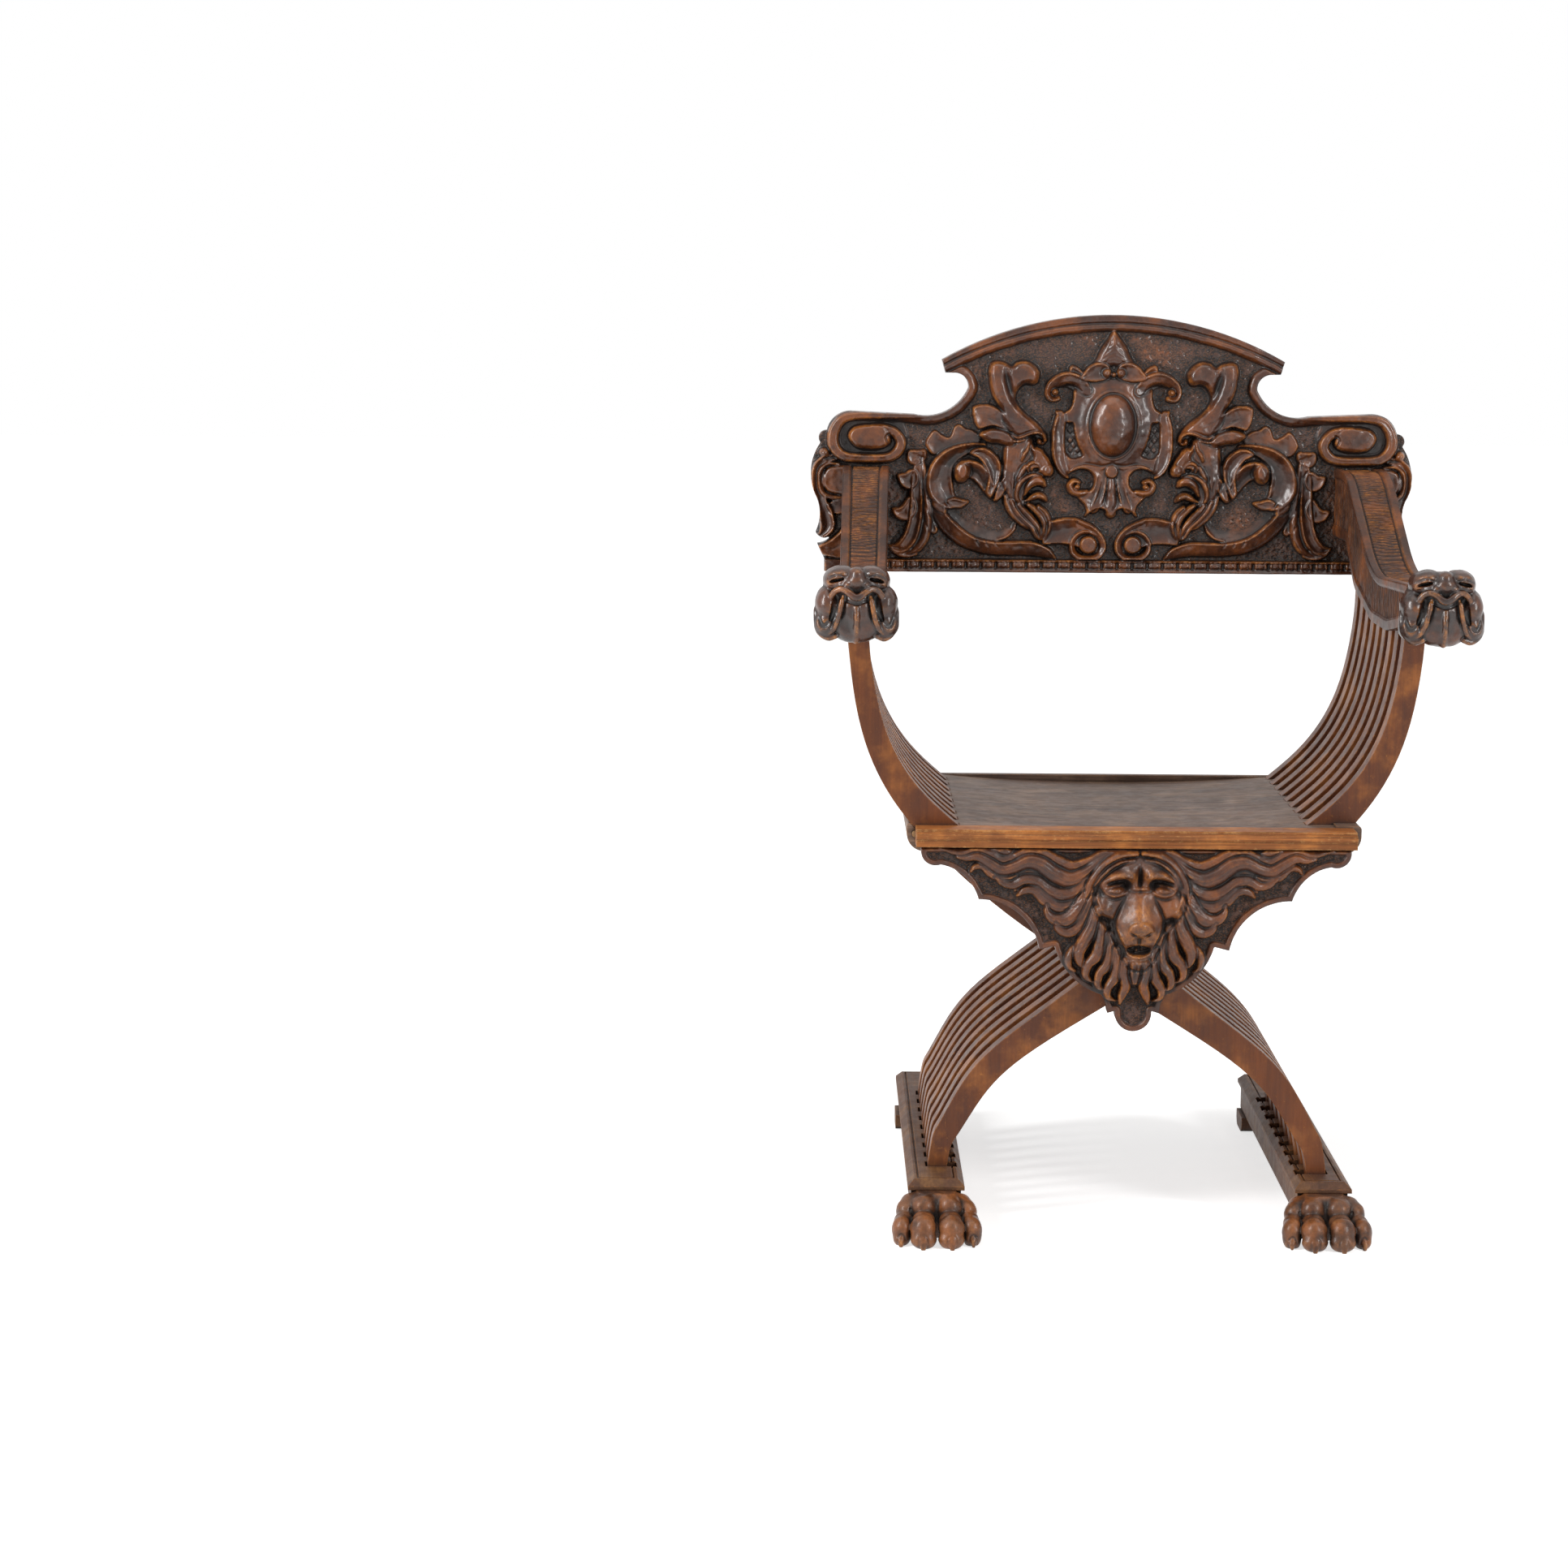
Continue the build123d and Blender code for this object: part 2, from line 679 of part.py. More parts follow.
def panel_outline():
    """Half outline, from the bottom edge up past the leaf, volute and notch to the crest."""
    w = panel_half_width
    ear = w + ear_reach
    base = panel_bottom
    top = shoulder_height
    tip_x = crest_tip_x
    tip_z = crest_tip_height
    edges = [
        Line((0, 0, base), (w, 0, base)),
        Line((w, 0, base), (w, 0, base + 14)),
        ThreePointArc((w, 0, base + 14), (w + 4, 0, base + 23), (w + 8, 0, base + 31)),
        ThreePointArc((w + 8, 0, base + 31), (w - 1, 0, base + 33.5), (w - 8, 0, base + 40)),
        ThreePointArc((w - 8, 0, base + 40), (w + 2, 0, base + 38.5), (w + 10, 0, base + 44)),
        ThreePointArc((w + 10, 0, base + 44), (w + 5.5, 0, base + 62), (w + 9, 0, base + 84)),
        ThreePointArc((w + 9, 0, base + 84), (ear, 0, base + 120), (w + 5, 0, base + 146)),
        ThreePointArc((w + 5, 0, base + 146), (w + 6.5, 0, top - 27), (w - 2, 0, top - 22)),
        ThreePointArc((w - 2, 0, top - 22), (w - 9.5, 0, top - 8), (w - 32, 0, top)),
        Line((w - 32, 0, top), (tip_x + 31, 0, top - 3)),
        ThreePointArc((tip_x + 31, 0, top - 3), (tip_x - 14, 0, top + 6), (tip_x - 30.5, 0, top + 27)),
        ThreePointArc((tip_x - 30.5, 0, top + 27), (tip_x - 26.5, 0, tip_z - 20), (tip_x - 13, 0, tip_z - 14.5)),
        Line((tip_x - 13, 0, tip_z - 14.5), (tip_x - 4, 0, tip_z - 14.5)),
        Line((tip_x - 4, 0, tip_z - 14.5), (tip_x, 0, tip_z)),
    ]
    sagitta = crest_height - tip_z
    radius = (tip_x**2 + sagitta**2) / (2 * sagitta)
    middle = Vector(0, 0, crest_height - radius)
    turn = math.asin(tip_x / radius) / 2
    half_way = middle + Vector(math.sin(turn), 0, math.cos(turn)) * radius
    edges.append(ThreePointArc((tip_x, 0, tip_z), half_way, (0, 0, crest_height)))
    return symmetric_face(edges)


def stadium(length, height):
    return SlotOverall(length, height)


def raised(sketch, x, z, front):
    """A flat sketch stood up on the panel's ground at x, z, with its face at y = front."""
    return Pos(x, panel_ground, z) * extrude(Plane.XZ * sketch, amount=panel_ground - front)


def make_volute():
    """Flat scroll over the end of the arm, with an oval boss in a sunk ring."""
    front = panel_front - volute_projection
    scroll = raised(stadium(volute_length, volute_height), volute_x, volute_z, front)
    ring = stadium(volute_length - 22, volute_height - 22) - stadium(volute_length - 44, volute_height - 32)
    return scroll - Pos(volute_x, front + 5, volute_z) * extrude(Plane.XZ * ring, amount=10)


def make_panel_relief():
    """The main masses of the carving on the +X half and the middle."""
    relief = ellipsoid(0, panel_ground, volute_z + 13, 64, 13, 52)
    relief += ellipsoid(0, panel_ground - 6, volute_z + 16, 27, 14, 37)
    relief += ellipsoid(0, panel_ground, volute_z - 62, 42, 10, 24)
    half = ellipsoid(104, panel_ground, volute_z - 44, 34, 14, 44)
    half += ellipsoid(112, panel_ground, volute_z + 12, 30, 12, 42)
    half += ellipsoid(88, panel_ground - 2, volute_z - 26, 16, 13, 12)
    outer = Circle(56) - Circle(40)
    half += raised(outer, 172, volute_z - 56, panel_front - 1)
    half += ellipsoid(166, panel_ground, volute_z - 46, 26, 12, 24)
    half += ellipsoid(230, panel_ground, volute_z - 72, 13, 10, 58)
    half += raised(Circle(22) - Circle(13), 27, volute_z - 122, panel_front - 1)
    half &= block(0, far, 0, panel_ground, panel_bottom + 14, far)
    relief += half + mirrored(half)
    return relief & block(-far, far, 0, panel_ground, panel_bottom + 14, far)


def make_beads():
    """Row of flattened beads on the panel's bottom rail, between the arms."""
    inner_end = arm_rear_x - arm_rear_width / 2 - 6
    count = int(2 * inner_end / bead_pitch)
    start = -(count - 1) / 2 * bead_pitch
    z = panel_bottom + 8
    bead = ellipsoid(0, panel_front, z, bead_pitch * 0.48, 3, bead_diameter / 2)
    return [Pos(start + i * bead_pitch, 0, 0) * bead for i in range(count)]


def make_panel():
    outline = panel_outline()
    panel = slab(outline, panel_front, panel_back)
    pocket = offset(outline, -rim_width)
    pocket = slab(pocket, panel_front - 1, panel_ground)
    pocket &= block(-far, far, 0, far, panel_bottom + 14, far)
    panel -= pocket
    seat = block(
        arm_rear_x - arm_rear_width / 2 - 1, arm_rear_x + arm_rear_width / 2 + 1, panel_front, panel_ground,
        arm_rear_under - 2, volute_z,
    )
    side = seat + make_volute()
    relief = make_panel_relief() - arm_body - mirrored(arm_body)
    panel += side + mirrored(side) + relief
    for bead in make_beads():
        panel += bead
    for hole in back_screw_holes():
        panel -= hole
        panel -= mirrored(hole)
    return panel


# ---------------------------------------------------------------- all pieces
parts["left_arm"] = make_arm(0)
parts["right_arm"] = make_arm(1)
parts["seat_board"] = make_seat_board()
side_rail = make_side_rail()
for x, y0, y1 in rail_dowel_places:
    if x > 0:
        side_rail -= rail_dowel(x, y0, y1, fit_gap)
parts["seat_right_rail"] = staves_through_seat(side_rail)
parts["seat_left_rail"] = staves_through_seat(mirrored(side_rail))
parts["seat_front_rail"] = make_front_rail()
parts["seat_rear_rail"] = make_rear_rail()
parts["rail_dowels"] = Compound([rail_dowel(x, y0, y1) for x, y0, y1 in rail_dowel_places])
parts["front_apron"] = make_apron()
parts["apron_dowels"] = Compound([apron_dowel(x) for x in apron_dowel_places])
# the foremost group comes down from the -X arm to the +X runner
parts["right_runner_plate"] = make_plate(0)
parts["left_runner_plate"] = mirrored(make_plate(1))
beam = make_beam()
parts["right_runner"] = beam
parts["left_runner"] = mirrored(beam)
paw = make_paw()
parts["right_paw"] = paw
parts["left_paw"] = mirrored(paw)
parts["paw_dowels"] = Compound([paw_dowel(), mirrored(paw_dowel())])
rear_foot = make_rear_foot()
parts["right_rear_foot"] = rear_foot
parts["left_rear_foot"] = mirrored(rear_foot)
runner_screws = [plate_screw(y) for y in plate_screw_places]
parts["runner_screws"] = Compound(runner_screws + [mirrored(screw) for screw in runner_screws])
parts["back_panel"] = make_panel()
panel_screws = [back_screw(x, z) for x, z in back_screw_places()]
parts["back_screws"] = Compound(panel_screws + [mirrored(screw) for screw in panel_screws])

for name, shape in parts.items():
    export_step(shape, f"parts/{name}.step")
print(len(parts), "nodes")
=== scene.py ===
import json
import math
from functools import partial

import bpy
import numpy as np
from mathutils import Matrix, Vector


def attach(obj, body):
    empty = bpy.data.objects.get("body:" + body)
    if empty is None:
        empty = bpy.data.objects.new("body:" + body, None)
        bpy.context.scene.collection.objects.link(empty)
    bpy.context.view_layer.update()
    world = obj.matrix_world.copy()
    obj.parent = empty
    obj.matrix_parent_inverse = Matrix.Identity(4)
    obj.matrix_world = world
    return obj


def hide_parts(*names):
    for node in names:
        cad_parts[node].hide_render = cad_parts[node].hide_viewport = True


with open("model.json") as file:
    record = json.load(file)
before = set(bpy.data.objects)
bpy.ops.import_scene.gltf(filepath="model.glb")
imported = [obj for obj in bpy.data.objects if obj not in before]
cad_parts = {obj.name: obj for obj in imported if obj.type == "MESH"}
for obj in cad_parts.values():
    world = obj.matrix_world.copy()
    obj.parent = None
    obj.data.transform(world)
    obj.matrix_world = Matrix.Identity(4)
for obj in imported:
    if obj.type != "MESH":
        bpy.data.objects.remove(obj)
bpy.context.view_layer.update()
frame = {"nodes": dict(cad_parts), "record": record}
cadNodes = frame["nodes"]
runKind = 1  # picks from the pairs for a quick and a full run
mm = 0.001
print("nodes", len(cadNodes))


# small numpy helpers

# the stretch from b to c of a Catmull-Rom curve, sampled about every step mm of its first two columns
def curveBetween(a, b, c, d, step):
    count = max(2, int(np.hypot(*(c - b)[:2]) / step))
    t = np.linspace(0, 1, count, endpoint=False)[:, None]
    square = (2 * a - 5 * b + 4 * c - d) * t**2
    cube = (3 * b - a - 3 * c + d) * t**3
    return 0.5 * (2 * b + (c - a) * t + square + cube)


# smooth open curve through rows of any width
def smoothPath(rows, step):
    rows = np.asarray(rows, float)
    if len(rows) == 2:
        rows = np.array([rows[0], (rows[0] + rows[1]) / 2, rows[1]])
    padded = np.vstack([2 * rows[0] - rows[1], rows, 2 * rows[-1] - rows[-2]])
    parts = [curveBetween(*padded[i : i + 4], step) for i in range(len(rows) - 1)]
    return np.vstack(parts + [rows[-1:]])


# the same, closed
def closedPath(rows, step):
    rows = np.asarray(rows, float)
    turned = [np.roll(rows, 1 - k, axis=0) for k in range(4)]
    return np.vstack([curveBetween(*four, step) for four in zip(*turned)])


# smooth step from 0 at t = 0 to 1 at t = 1
def soft(t):
    t = np.clip(t, 0, 1)
    return t * t * (3 - 2 * t)


# quarter circle from 1 at t = 0 to 0 at t = 1
def quarter(t):
    return np.sqrt(np.clip(1 - t**2, 0, 1))


# how much an edge of this radius takes off at a place away mm in from it
def roundedOff(away, radius):
    return radius * (1 - quarter(np.clip(1 - away / radius, 0, 1)))


# box blurs along each axis in turn; three rounds come close to a Gaussian
def blurred(field, cells, rounds=3):
    cells = max(1, int(round(cells)))
    for axis in tuple(range(field.ndim)) * rounds:
        pad = [(0, 0)] * field.ndim
        pad[axis] = (cells + 1, cells)
        total = np.cumsum(np.pad(field, pad, mode="edge"), axis=axis)
        n = field.shape[axis]
        high = np.take(total, np.arange(n) + 2 * cells + 1, axis=axis)
        low = np.take(total, np.arange(n), axis=axis)
        field = (high - low) / (2 * cells + 1)
    return field


# Even and odd crossings: test of grid points against a closed outline
def insideOf(x, z, outline):
    found = np.zeros(x.shape, bool)
    a = outline
    b = np.roll(outline, -1, axis=0)
    for (ax, az), (bx, bz) in zip(a, b):
        if az == bz:
            continue
        crosses = (z < az) != (z < bz)
        at = ax + (z - az) * (bx - ax) / (bz - az)
        found ^= crosses & (x < at)
    return found


# distance, in units of scale, and index of the nearest sample for each point
def nearestOn(x, z, samples, scale=None):
    flatX, flatZ = x.ravel(), z.ravel()
    best = np.full(flatX.shape, 1e9)
    index = np.zeros(flatX.shape, int)
    chunk = max(1, int(3e6 / max(1, len(samples))))
    for i in range(0, len(flatX), chunk):
        dx = flatX[i : i + chunk, None] - samples[None, :, 0]
        dz = flatZ[i : i + chunk, None] - samples[None, :, 1]
        d = np.hypot(dx, dz)
        if scale is not None:
            d = d / scale[None]
        k = d.argmin(1)
        index[i : i + chunk] = k
        best[i : i + chunk] = d[np.arange(len(k)), k]
    return best.reshape(x.shape), index.reshape(x.shape)


# size and depth in mm of the tool marks on the relief and of the punched ground
tooling = {"marks": (2.0, 0.16), "waves": (4.5, 0.3), "punched": (0.6, 0.3)}
# height from the middle of a stroke (q = 0) to its edges (q = 1)
profiles = {
    "flat": lambda q: 1 - np.clip(q, 0, 1) ** 6,
    "groove": lambda q: soft(1 - q),
    "bell": lambda q: np.exp(-4.5 * q * q) * soft((1 - q) / 0.3),
}
# height across a band from its right side to its left side, as pairs of place and share of the height
sections = {
    "shell": [(-1, 0.36), (-0.9, 0.46), (-0.6, 0.36), (-0.2, 0.42), (0.15, 0.56), (0.45, 0.76),
        (0.75, 1.0), (0.9, 0.84), (1, 0.5)],
    "trough": [(-1, 0.7), (-0.9, 1), (-0.6, 0.78), (-0.3, 0.62), (0, 0.56), (0.3, 0.62), (0.6, 0.78),
        (0.9, 1), (1, 0.7)],
    "roll": [(-1, 0.4), (-0.88, 0.66), (-0.6, 0.88), (0, 1), (0.6, 0.88), (0.88, 0.66), (1, 0.4)],
    "slope": [(-1, 0.45), (-0.9, 0.55), (-0.3, 0.6), (0.3, 0.72), (0.7, 0.9), (0.86, 1.0), (0.95, 0.9),
        (1, 0.6)],
    "lean": [(-1, 0.28), (-0.8, 0.5), (-0.4, 0.68), (0.1, 0.8), (0.55, 0.9), (0.8, 1.0), (0.92, 0.92),
        (1, 0.6)],
    "bowl": [(-1, 0.6), (-0.86, 1), (-0.6, 0.7), (-0.2, 0.42), (0.3, 0.2), (0.7, 0.07), (1, 0)],
}


# heights in mm over a flat ground, built up from outlined shapes and strokes
class Carving:
    def __init__(self, low, high, step):
        self.step = step
        self.x, self.z = np.meshgrid(
            np.arange(low[0], high[0] + step, step), np.arange(low[1], high[1] + step, step)
        )
        self.low = np.array(low, float)
        self.h = np.zeros(self.x.shape)
        # spots that hands have rubbed, partly painted highlights
        self.rub = np.zeros(self.x.shape)

    def window(self, points, margin):
        lo = np.floor((points.min(0) - margin - self.low) / self.step).astype(int)
        hi = np.ceil((points.max(0) + margin - self.low) / self.step).astype(int) + 1
        rows, cols = self.h.shape
        return (slice(max(lo[1], 0), min(hi[1], rows)), slice(max(lo[0], 0), min(hi[0], cols)))

    # window on a closed path, with what lies inside it and how far from it
    def patch(self, path):
        at = self.window(path, 3)
        inside = insideOf(self.x[at], self.z[at], path)
        away, _ = nearestOn(self.x[at], self.z[at], path)
        return at, inside, away

    # window on a strip along rows of x, z, half width and height; q is 0 on its middle and 1 on its edges
    def strip(self, rows):
        path = smoothPath(rows, 0.7)
        widths = np.maximum(path[:, 2], 0.3)
        at = self.window(path[:, :2], widths.max() + 3)
        x, z = self.x[at], self.z[at]
        q, k = nearestOn(x, z, path, widths)
        along = np.gradient(path[:, :2], axis=0)
        side = along[k, 0] * (z - path[k, 1]) - along[k, 1] * (x - path[k, 0])
        return at, q, np.sign(side), path[k, 3], np.abs(q - 1) * widths[k]

    # a raised patch inside a smoothed outline: rounded over edge mm, hollowed by dish
    def shape(self, outline, top, edge=4.0, dish=0.0, base=0.0, cut=1.2, mode="over", power=1.0):
        at, inside, away = self.patch(closedPath(outline, 0.8))
        rise = quarter(1 - np.clip(away / edge, 0, 1)) ** power
        new = base + (top - base) * rise - dish * soft((away - edge * 0.7) / (edge * 1.6))
        self.lay(at, new, inside, away, cut, mode)

    # a stroke with one of the profiles from its middle to its edges
    def stroke(self, rows, profile, cut=1.2, mode="over"):
        at, q, _, height, away = self.strip(rows)
        self.lay(at, height * profiles[profile](np.clip(q, 0, 1)), q < 1, away, cut, mode)

    # a strap with one of the sections across it
    def band(self, rows, kind, flip=False, cut=2.0):
        at, q, side, height, away = self.strip(rows)
        across = np.clip(q, 0, 1) * side * (-1 if flip else 1)
        places, shares = zip(*sections[kind])
        self.lay(at, height * np.interp(across, places, shares), q < 1, away, cut, "over")

    # a patch with a crisp edge, hollowed towards its middle
    def leaf(self, outline, top, hollow=4.0, lip=1.4, tilt=(0.0, 0.0), cut=2.0):
        path = closedPath(outline, 0.8)
        at, inside, away = self.patch(path)
        deepest = max(away[inside].max() if inside.any() else 1.0, 1.0)
        share = np.clip(away / deepest, 0, 1)
        middle = path.mean(0)
        crown = top + tilt[0] * (self.x[at] - middle[0]) + tilt[1] * (self.z[at] - middle[1])
        new = (crown - hollow * (1 - (1 - share) ** 2)) * (0.6 + 0.4 * soft(away / lip))
        self.lay(at, new, inside, away, cut, "over")

    # a spot that hands have rubbed, painted lighter in part as a highlight
    def rubbedHighlight(self, x, z, rx, rz, amount):
        self.rub += amount * np.exp(-0.7 * (((self.x - x) / rx) ** 2 + ((self.z - z) / rz) ** 2))

    # adds a soft bump, or a hollow when rise is negative; rx and rz are where it has faded by half
    def blob(self, x, z, rx, rz, rise, turn=0.0):
        c, s = math.cos(math.radians(turn)), math.sin(math.radians(turn))
        dx, dz = self.x - x, self.z - z
        u, v = (c * dx + s * dz) / rx, (c * dz - s * dx) / rz
        self.h += rise * np.exp(-0.7 * (u * u + v * v))

    # takes the stairs off the grid, then adds chisel marks on the relief and the punched ground
    def finish(self, seed, ground=0.6):
        for _ in range(1 if self.step > 0.9 else 2):
            padded = np.pad(self.h, 1, mode="edge")
            across = (padded[:, :-2] + 2 * padded[:, 1:-1] + padded[:, 2:]) / 4
            self.h = (across[:-2] + 2 * across[1:-1] + across[2:]) / 4
        random = np.random.default_rng(seed)
        noise = {}
        for name, (size, depth) in tooling.items():
            field = blurred(random.normal(size=self.h.shape), size / self.step)
            noise[name] = depth * field / field.std()
        low = np.clip(1 - self.h / ground, 0, 1)
        self.h = self.h + (noise["marks"] + noise["waves"]) * (1 - low) + noise["punched"] * low

    def lay(self, at, new, inside, away, cut, mode):
        h = self.h[at]
        if mode == "over":
            if cut:
                h = h - np.minimum(cut, h * 0.7) * np.clip(1 - away / 1.6, 0, 1)
            h = np.where(inside & (new > h), new, h)
        elif mode == "set":
            h = np.where(inside, new, h)
        elif mode == "add":
            h = h + np.where(inside, new, 0)
        elif mode == "cut":
            h = h - np.where(inside, new, 0)
        self.h[at] = h

    def dome(self, x, z, rx, rz, top, turn=0.0, **more):
        a = np.linspace(0, 2 * np.pi, 40, endpoint=False)
        c, s = math.cos(math.radians(turn)), math.sin(math.radians(turn))
        px, pz = rx * np.cos(a), rz * np.sin(a)
        outline = np.stack([x + c * px - s * pz, z + s * px + c * pz], 1)
        more.setdefault("edge", min(rx, rz))
        self.shape(outline, top, **more)

    # a carved line that tapers to nothing at both ends
    def line(self, points, width, depth):
        rows = [(*p, width / 2, depth) for p in points]
        rows[0] = (*points[0], width / 4, depth * 0.3)
        rows[-1] = (*points[-1], width / 4, depth * 0.3)
        self.stroke(rows, "groove", mode="cut")

    # copies the x > 0 half onto the other one; the grid is symmetric about 0
    def mirrorHalf(self):
        half = self.h.shape[1] // 2
        self.h[:, :half] = self.h[:, -half:][:, ::-1]


# a signed distance field in mm, added to and cut from in soft steps, meshed at the end
class Clay:
    def __init__(self, low, high, voxel):
        self.voxel = voxel
        self.low = np.array(low, float)
        axes = [np.arange(a, b + voxel, voxel, dtype=np.float32) for a, b in zip(low, high)]
        self.p = np.meshgrid(*axes, indexing="ij")
        self.d = np.full(self.p[0].shape, 50.0, np.float32)

    # joins or cuts with a fillet of about k mm
    def blend(self, new, k, cut=False):
        old = -self.d if cut else self.d
        if k:
            t = np.clip(0.5 + 0.5 * (old - new) / k, 0, 1)
            old = old * (1 - t) + new * t - k * t * (1 - t)
        else:
            old = np.minimum(old, new)
        self.d = -old if cut else old

    def ball(self, centre, radii, k=3.0, turn=(0, 0, 0), cut=False):
        q = [p - c for p, c in zip(self.p, centre)]
        for axis, angle in enumerate(turn):
            if angle:
                c, s = math.cos(math.radians(angle)), math.sin(math.radians(angle))
                i, j = (axis + 1) % 3, (axis + 2) % 3
                q[i], q[j] = c * q[i] + s * q[j], -s * q[i] + c * q[j]
        n = np.sqrt(sum((a / r) ** 2 for a, r in zip(q, radii)))
        g = np.sqrt(sum((a / (r * r)) ** 2 for a, r in zip(q, radii)))
        self.blend(np.where(g > 1e-6, n * (n - 1) / np.maximum(g, 1e-6), -min(radii)), k, cut)

    # a tapering rope through points of x, y, z and radius
    def limb(self, points, k=2.0, cut=False):
        path = smoothPath(points, 2.0) if len(points) > 2 else np.asarray(points, float)
        best = np.full(self.d.shape, 50.0, np.float32)
        for a, b in zip(path[:-1], path[1:]):
            ab = b[:3] - a[:3]
            length = max(float(ab @ ab), 1e-6)
            t = sum((p - o) * u for p, o, u in zip(self.p, a[:3], ab)) / length
            t = np.clip(t, 0, 1)
            d = np.sqrt(sum((p - o - t * u) ** 2 for p, o, u in zip(self.p, a[:3], ab)))
            best = np.minimum(best, d - (a[3] + (b[3] - a[3]) * t))
        self.blend(best, k, cut)

    # cuts flat: keeps what lies above or below the limit
    def keep(self, axis, limit, above):
        plane = (limit - self.p[axis]) if above else (self.p[axis] - limit)
        self.d = np.maximum(self.d, plane)

    # an uneven surface, as the knife leaves it
    def roughen(self, seed, size, amount):
        noise = blurred(np.random.default_rng(seed).normal(size=self.d.shape), size / self.voxel, 2)
        self.d = self.d + amount * noise / noise.std()

    # surface nets: one vertex in each cell that the surface crosses
    def mesh(self):
        d = np.pad(self.d, 1, constant_values=5.0)
        inside = d < 0
        corners = [d[i : d.shape[0] - 1 + i, j : d.shape[1] - 1 + j, k : d.shape[2] - 1 + k]
                   for i in (0, 1) for j in (0, 1) for k in (0, 1)]
        offsets = np.array([(i, j, k) for i in (0, 1) for j in (0, 1) for k in (0, 1)], float)
        total = np.zeros(corners[0].shape + (3,), np.float32)
        hits = np.zeros(corners[0].shape, np.float32)
        for a in range(8):
            for b in range(a + 1, 8):
                step = offsets[b] - offsets[a]
                if abs(step).sum() != 1:
                    continue
                cross = (corners[a] < 0) != (corners[b] < 0)
                t = np.where(cross, corners[a] / np.where(cross, corners[a] - corners[b], 1), 0)
                hits += cross
                total += cross[..., None] * (offsets[a] + t[..., None] * step)
        live = hits > 0
        number = np.full(live.shape, -1)
        number[live] = np.arange(live.sum())
        cells = np.argwhere(live)
        points = (cells - 1 + total[live] / hits[live][:, None]) * self.voxel + self.low
        quads = []
        for axis in range(3):
            a = [slice(1, -1)] * 3
            b = [slice(1, -1)] * 3
            a[axis] = slice(0, -1)
            b[axis] = slice(1, None)
            first = inside[tuple(a)]
            cross = first != inside[tuple(b)]
            at = np.argwhere(cross)
            start = at + 1
            start[:, axis] -= 1
            u, v = (axis + 1) % 3, (axis + 2) % 3
            ring = []
            for du, dv in ((0, 0), (-1, 0), (-1, -1), (0, -1)):
                c = start.copy()
                c[:, u] += du
                c[:, v] += dv
                ring.append(number[c[:, 0], c[:, 1], c[:, 2]])
            ring = np.stack(ring, 1)
            flip = ~first[cross]
            ring[flip] = ring[flip][:, ::-1]
            quads.append(ring)
        return points, np.vstack(quads)

    # trilinear sample of a field on this grid
    def fieldAt(self, field, points):
        g = (points - self.low) / self.voxel
        i = np.clip(np.floor(g).astype(int), 0, np.array(field.shape) - 2)
        f = np.clip(g - i, 0, 1)
        out = 0
        for corner in np.ndindex(2, 2, 2):
            wx, wy, wz = (f[:, a] if on else 1 - f[:, a] for a, on in enumerate(corner))
            out = out + wx * wy * wz * field[tuple(i[:, a] + on for a, on in enumerate(corner))]
        return out


# meshes

# a mesh in mm that stands for CAD nodes and rides on the chair
def addPiece(name, points, faces, nodes, material, attributes, uvs=None):
    mesh = bpy.data.meshes.new(name)
    mesh.from_pydata((np.asarray(points) * mm).tolist(), [], faces)
    for label, values in attributes:
        layer = mesh.attributes.new(label, "FLOAT", "POINT")
        layer.data.foreach_set("value", np.ascontiguousarray(values, np.float32))
    if uvs is not None:
        layer = mesh.uv_layers.new(name="UVMap")
        layer.data.foreach_set("uv", np.ascontiguousarray(uvs, np.float32).ravel())
    mesh.polygons.foreach_set("use_smooth", np.ones(len(mesh.polygons), bool))
    mesh.update()
    piece = bpy.data.objects.new(name, mesh)
    bpy.context.scene.collection.objects.link(piece)
    mesh.materials.append(material)
    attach(piece, "root")
    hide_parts(*nodes)
    print(name, len(mesh.polygons), "faces")
    return piece


# longest closed edge loop, in mm, round the faces of a CAD node that pass the test
def loopWhere(node, test):
    mesh = cadNodes[node].data
    co = np.array([v.co for v in mesh.vertices]) / mm
    keys = {}
    number = [keys.setdefault(tuple(np.round(c, 2)), len(keys)) for c in co]
    places = np.array(list(keys))
    follow = {}
    for polygon in mesh.polygons:
        if test(polygon.normal, polygon.center / mm):
            ids = [number[v] for v in polygon.vertices]
            for a, b in zip(ids, ids[1:] + ids[:1]):
                if a != b:
                    follow[(a, b)] = follow.get((a, b), 0) + 1
    after = {a: b for a, b in follow if (b, a) not in follow}
    loops = []
    while after:
        start, b = after.popitem()
        loop = [start]
        while b in after:
            loop.append(b)
            b = after.pop(b)
        loops.append(loop)
    lengths = [np.hypot(*np.ptp(places[l], axis=0)[:2]) + np.ptp(places[l], axis=0)[2] for l in loops]
    return places[loops[int(np.argmax(lengths))]]


# extra points along the straight runs of a closed outline
def denser(outline, step):
    out = []
    for a, b in zip(outline, np.roll(outline, -1, axis=0)):
        n = max(1, int(np.hypot(*(b - a)) / step))
        out += [a + (b - a) * i / n for i in range(n)]
    return np.array(out)


# distance in from the outline, up to reach, and the inside mask
def edgeDistance(carving, outline, reach):
    inside = insideOf(carving.x, carving.z, outline)
    near = inside & (blurred(inside.astype(float), reach / carving.step / 2) < 0.9999)
    d = np.where(inside, reach, 0.0)
    found, _ = nearestOn(carving.x[near], carving.z[near], denser(outline, 0.7))
    d[near] = np.minimum(found, reach)
    return d, inside


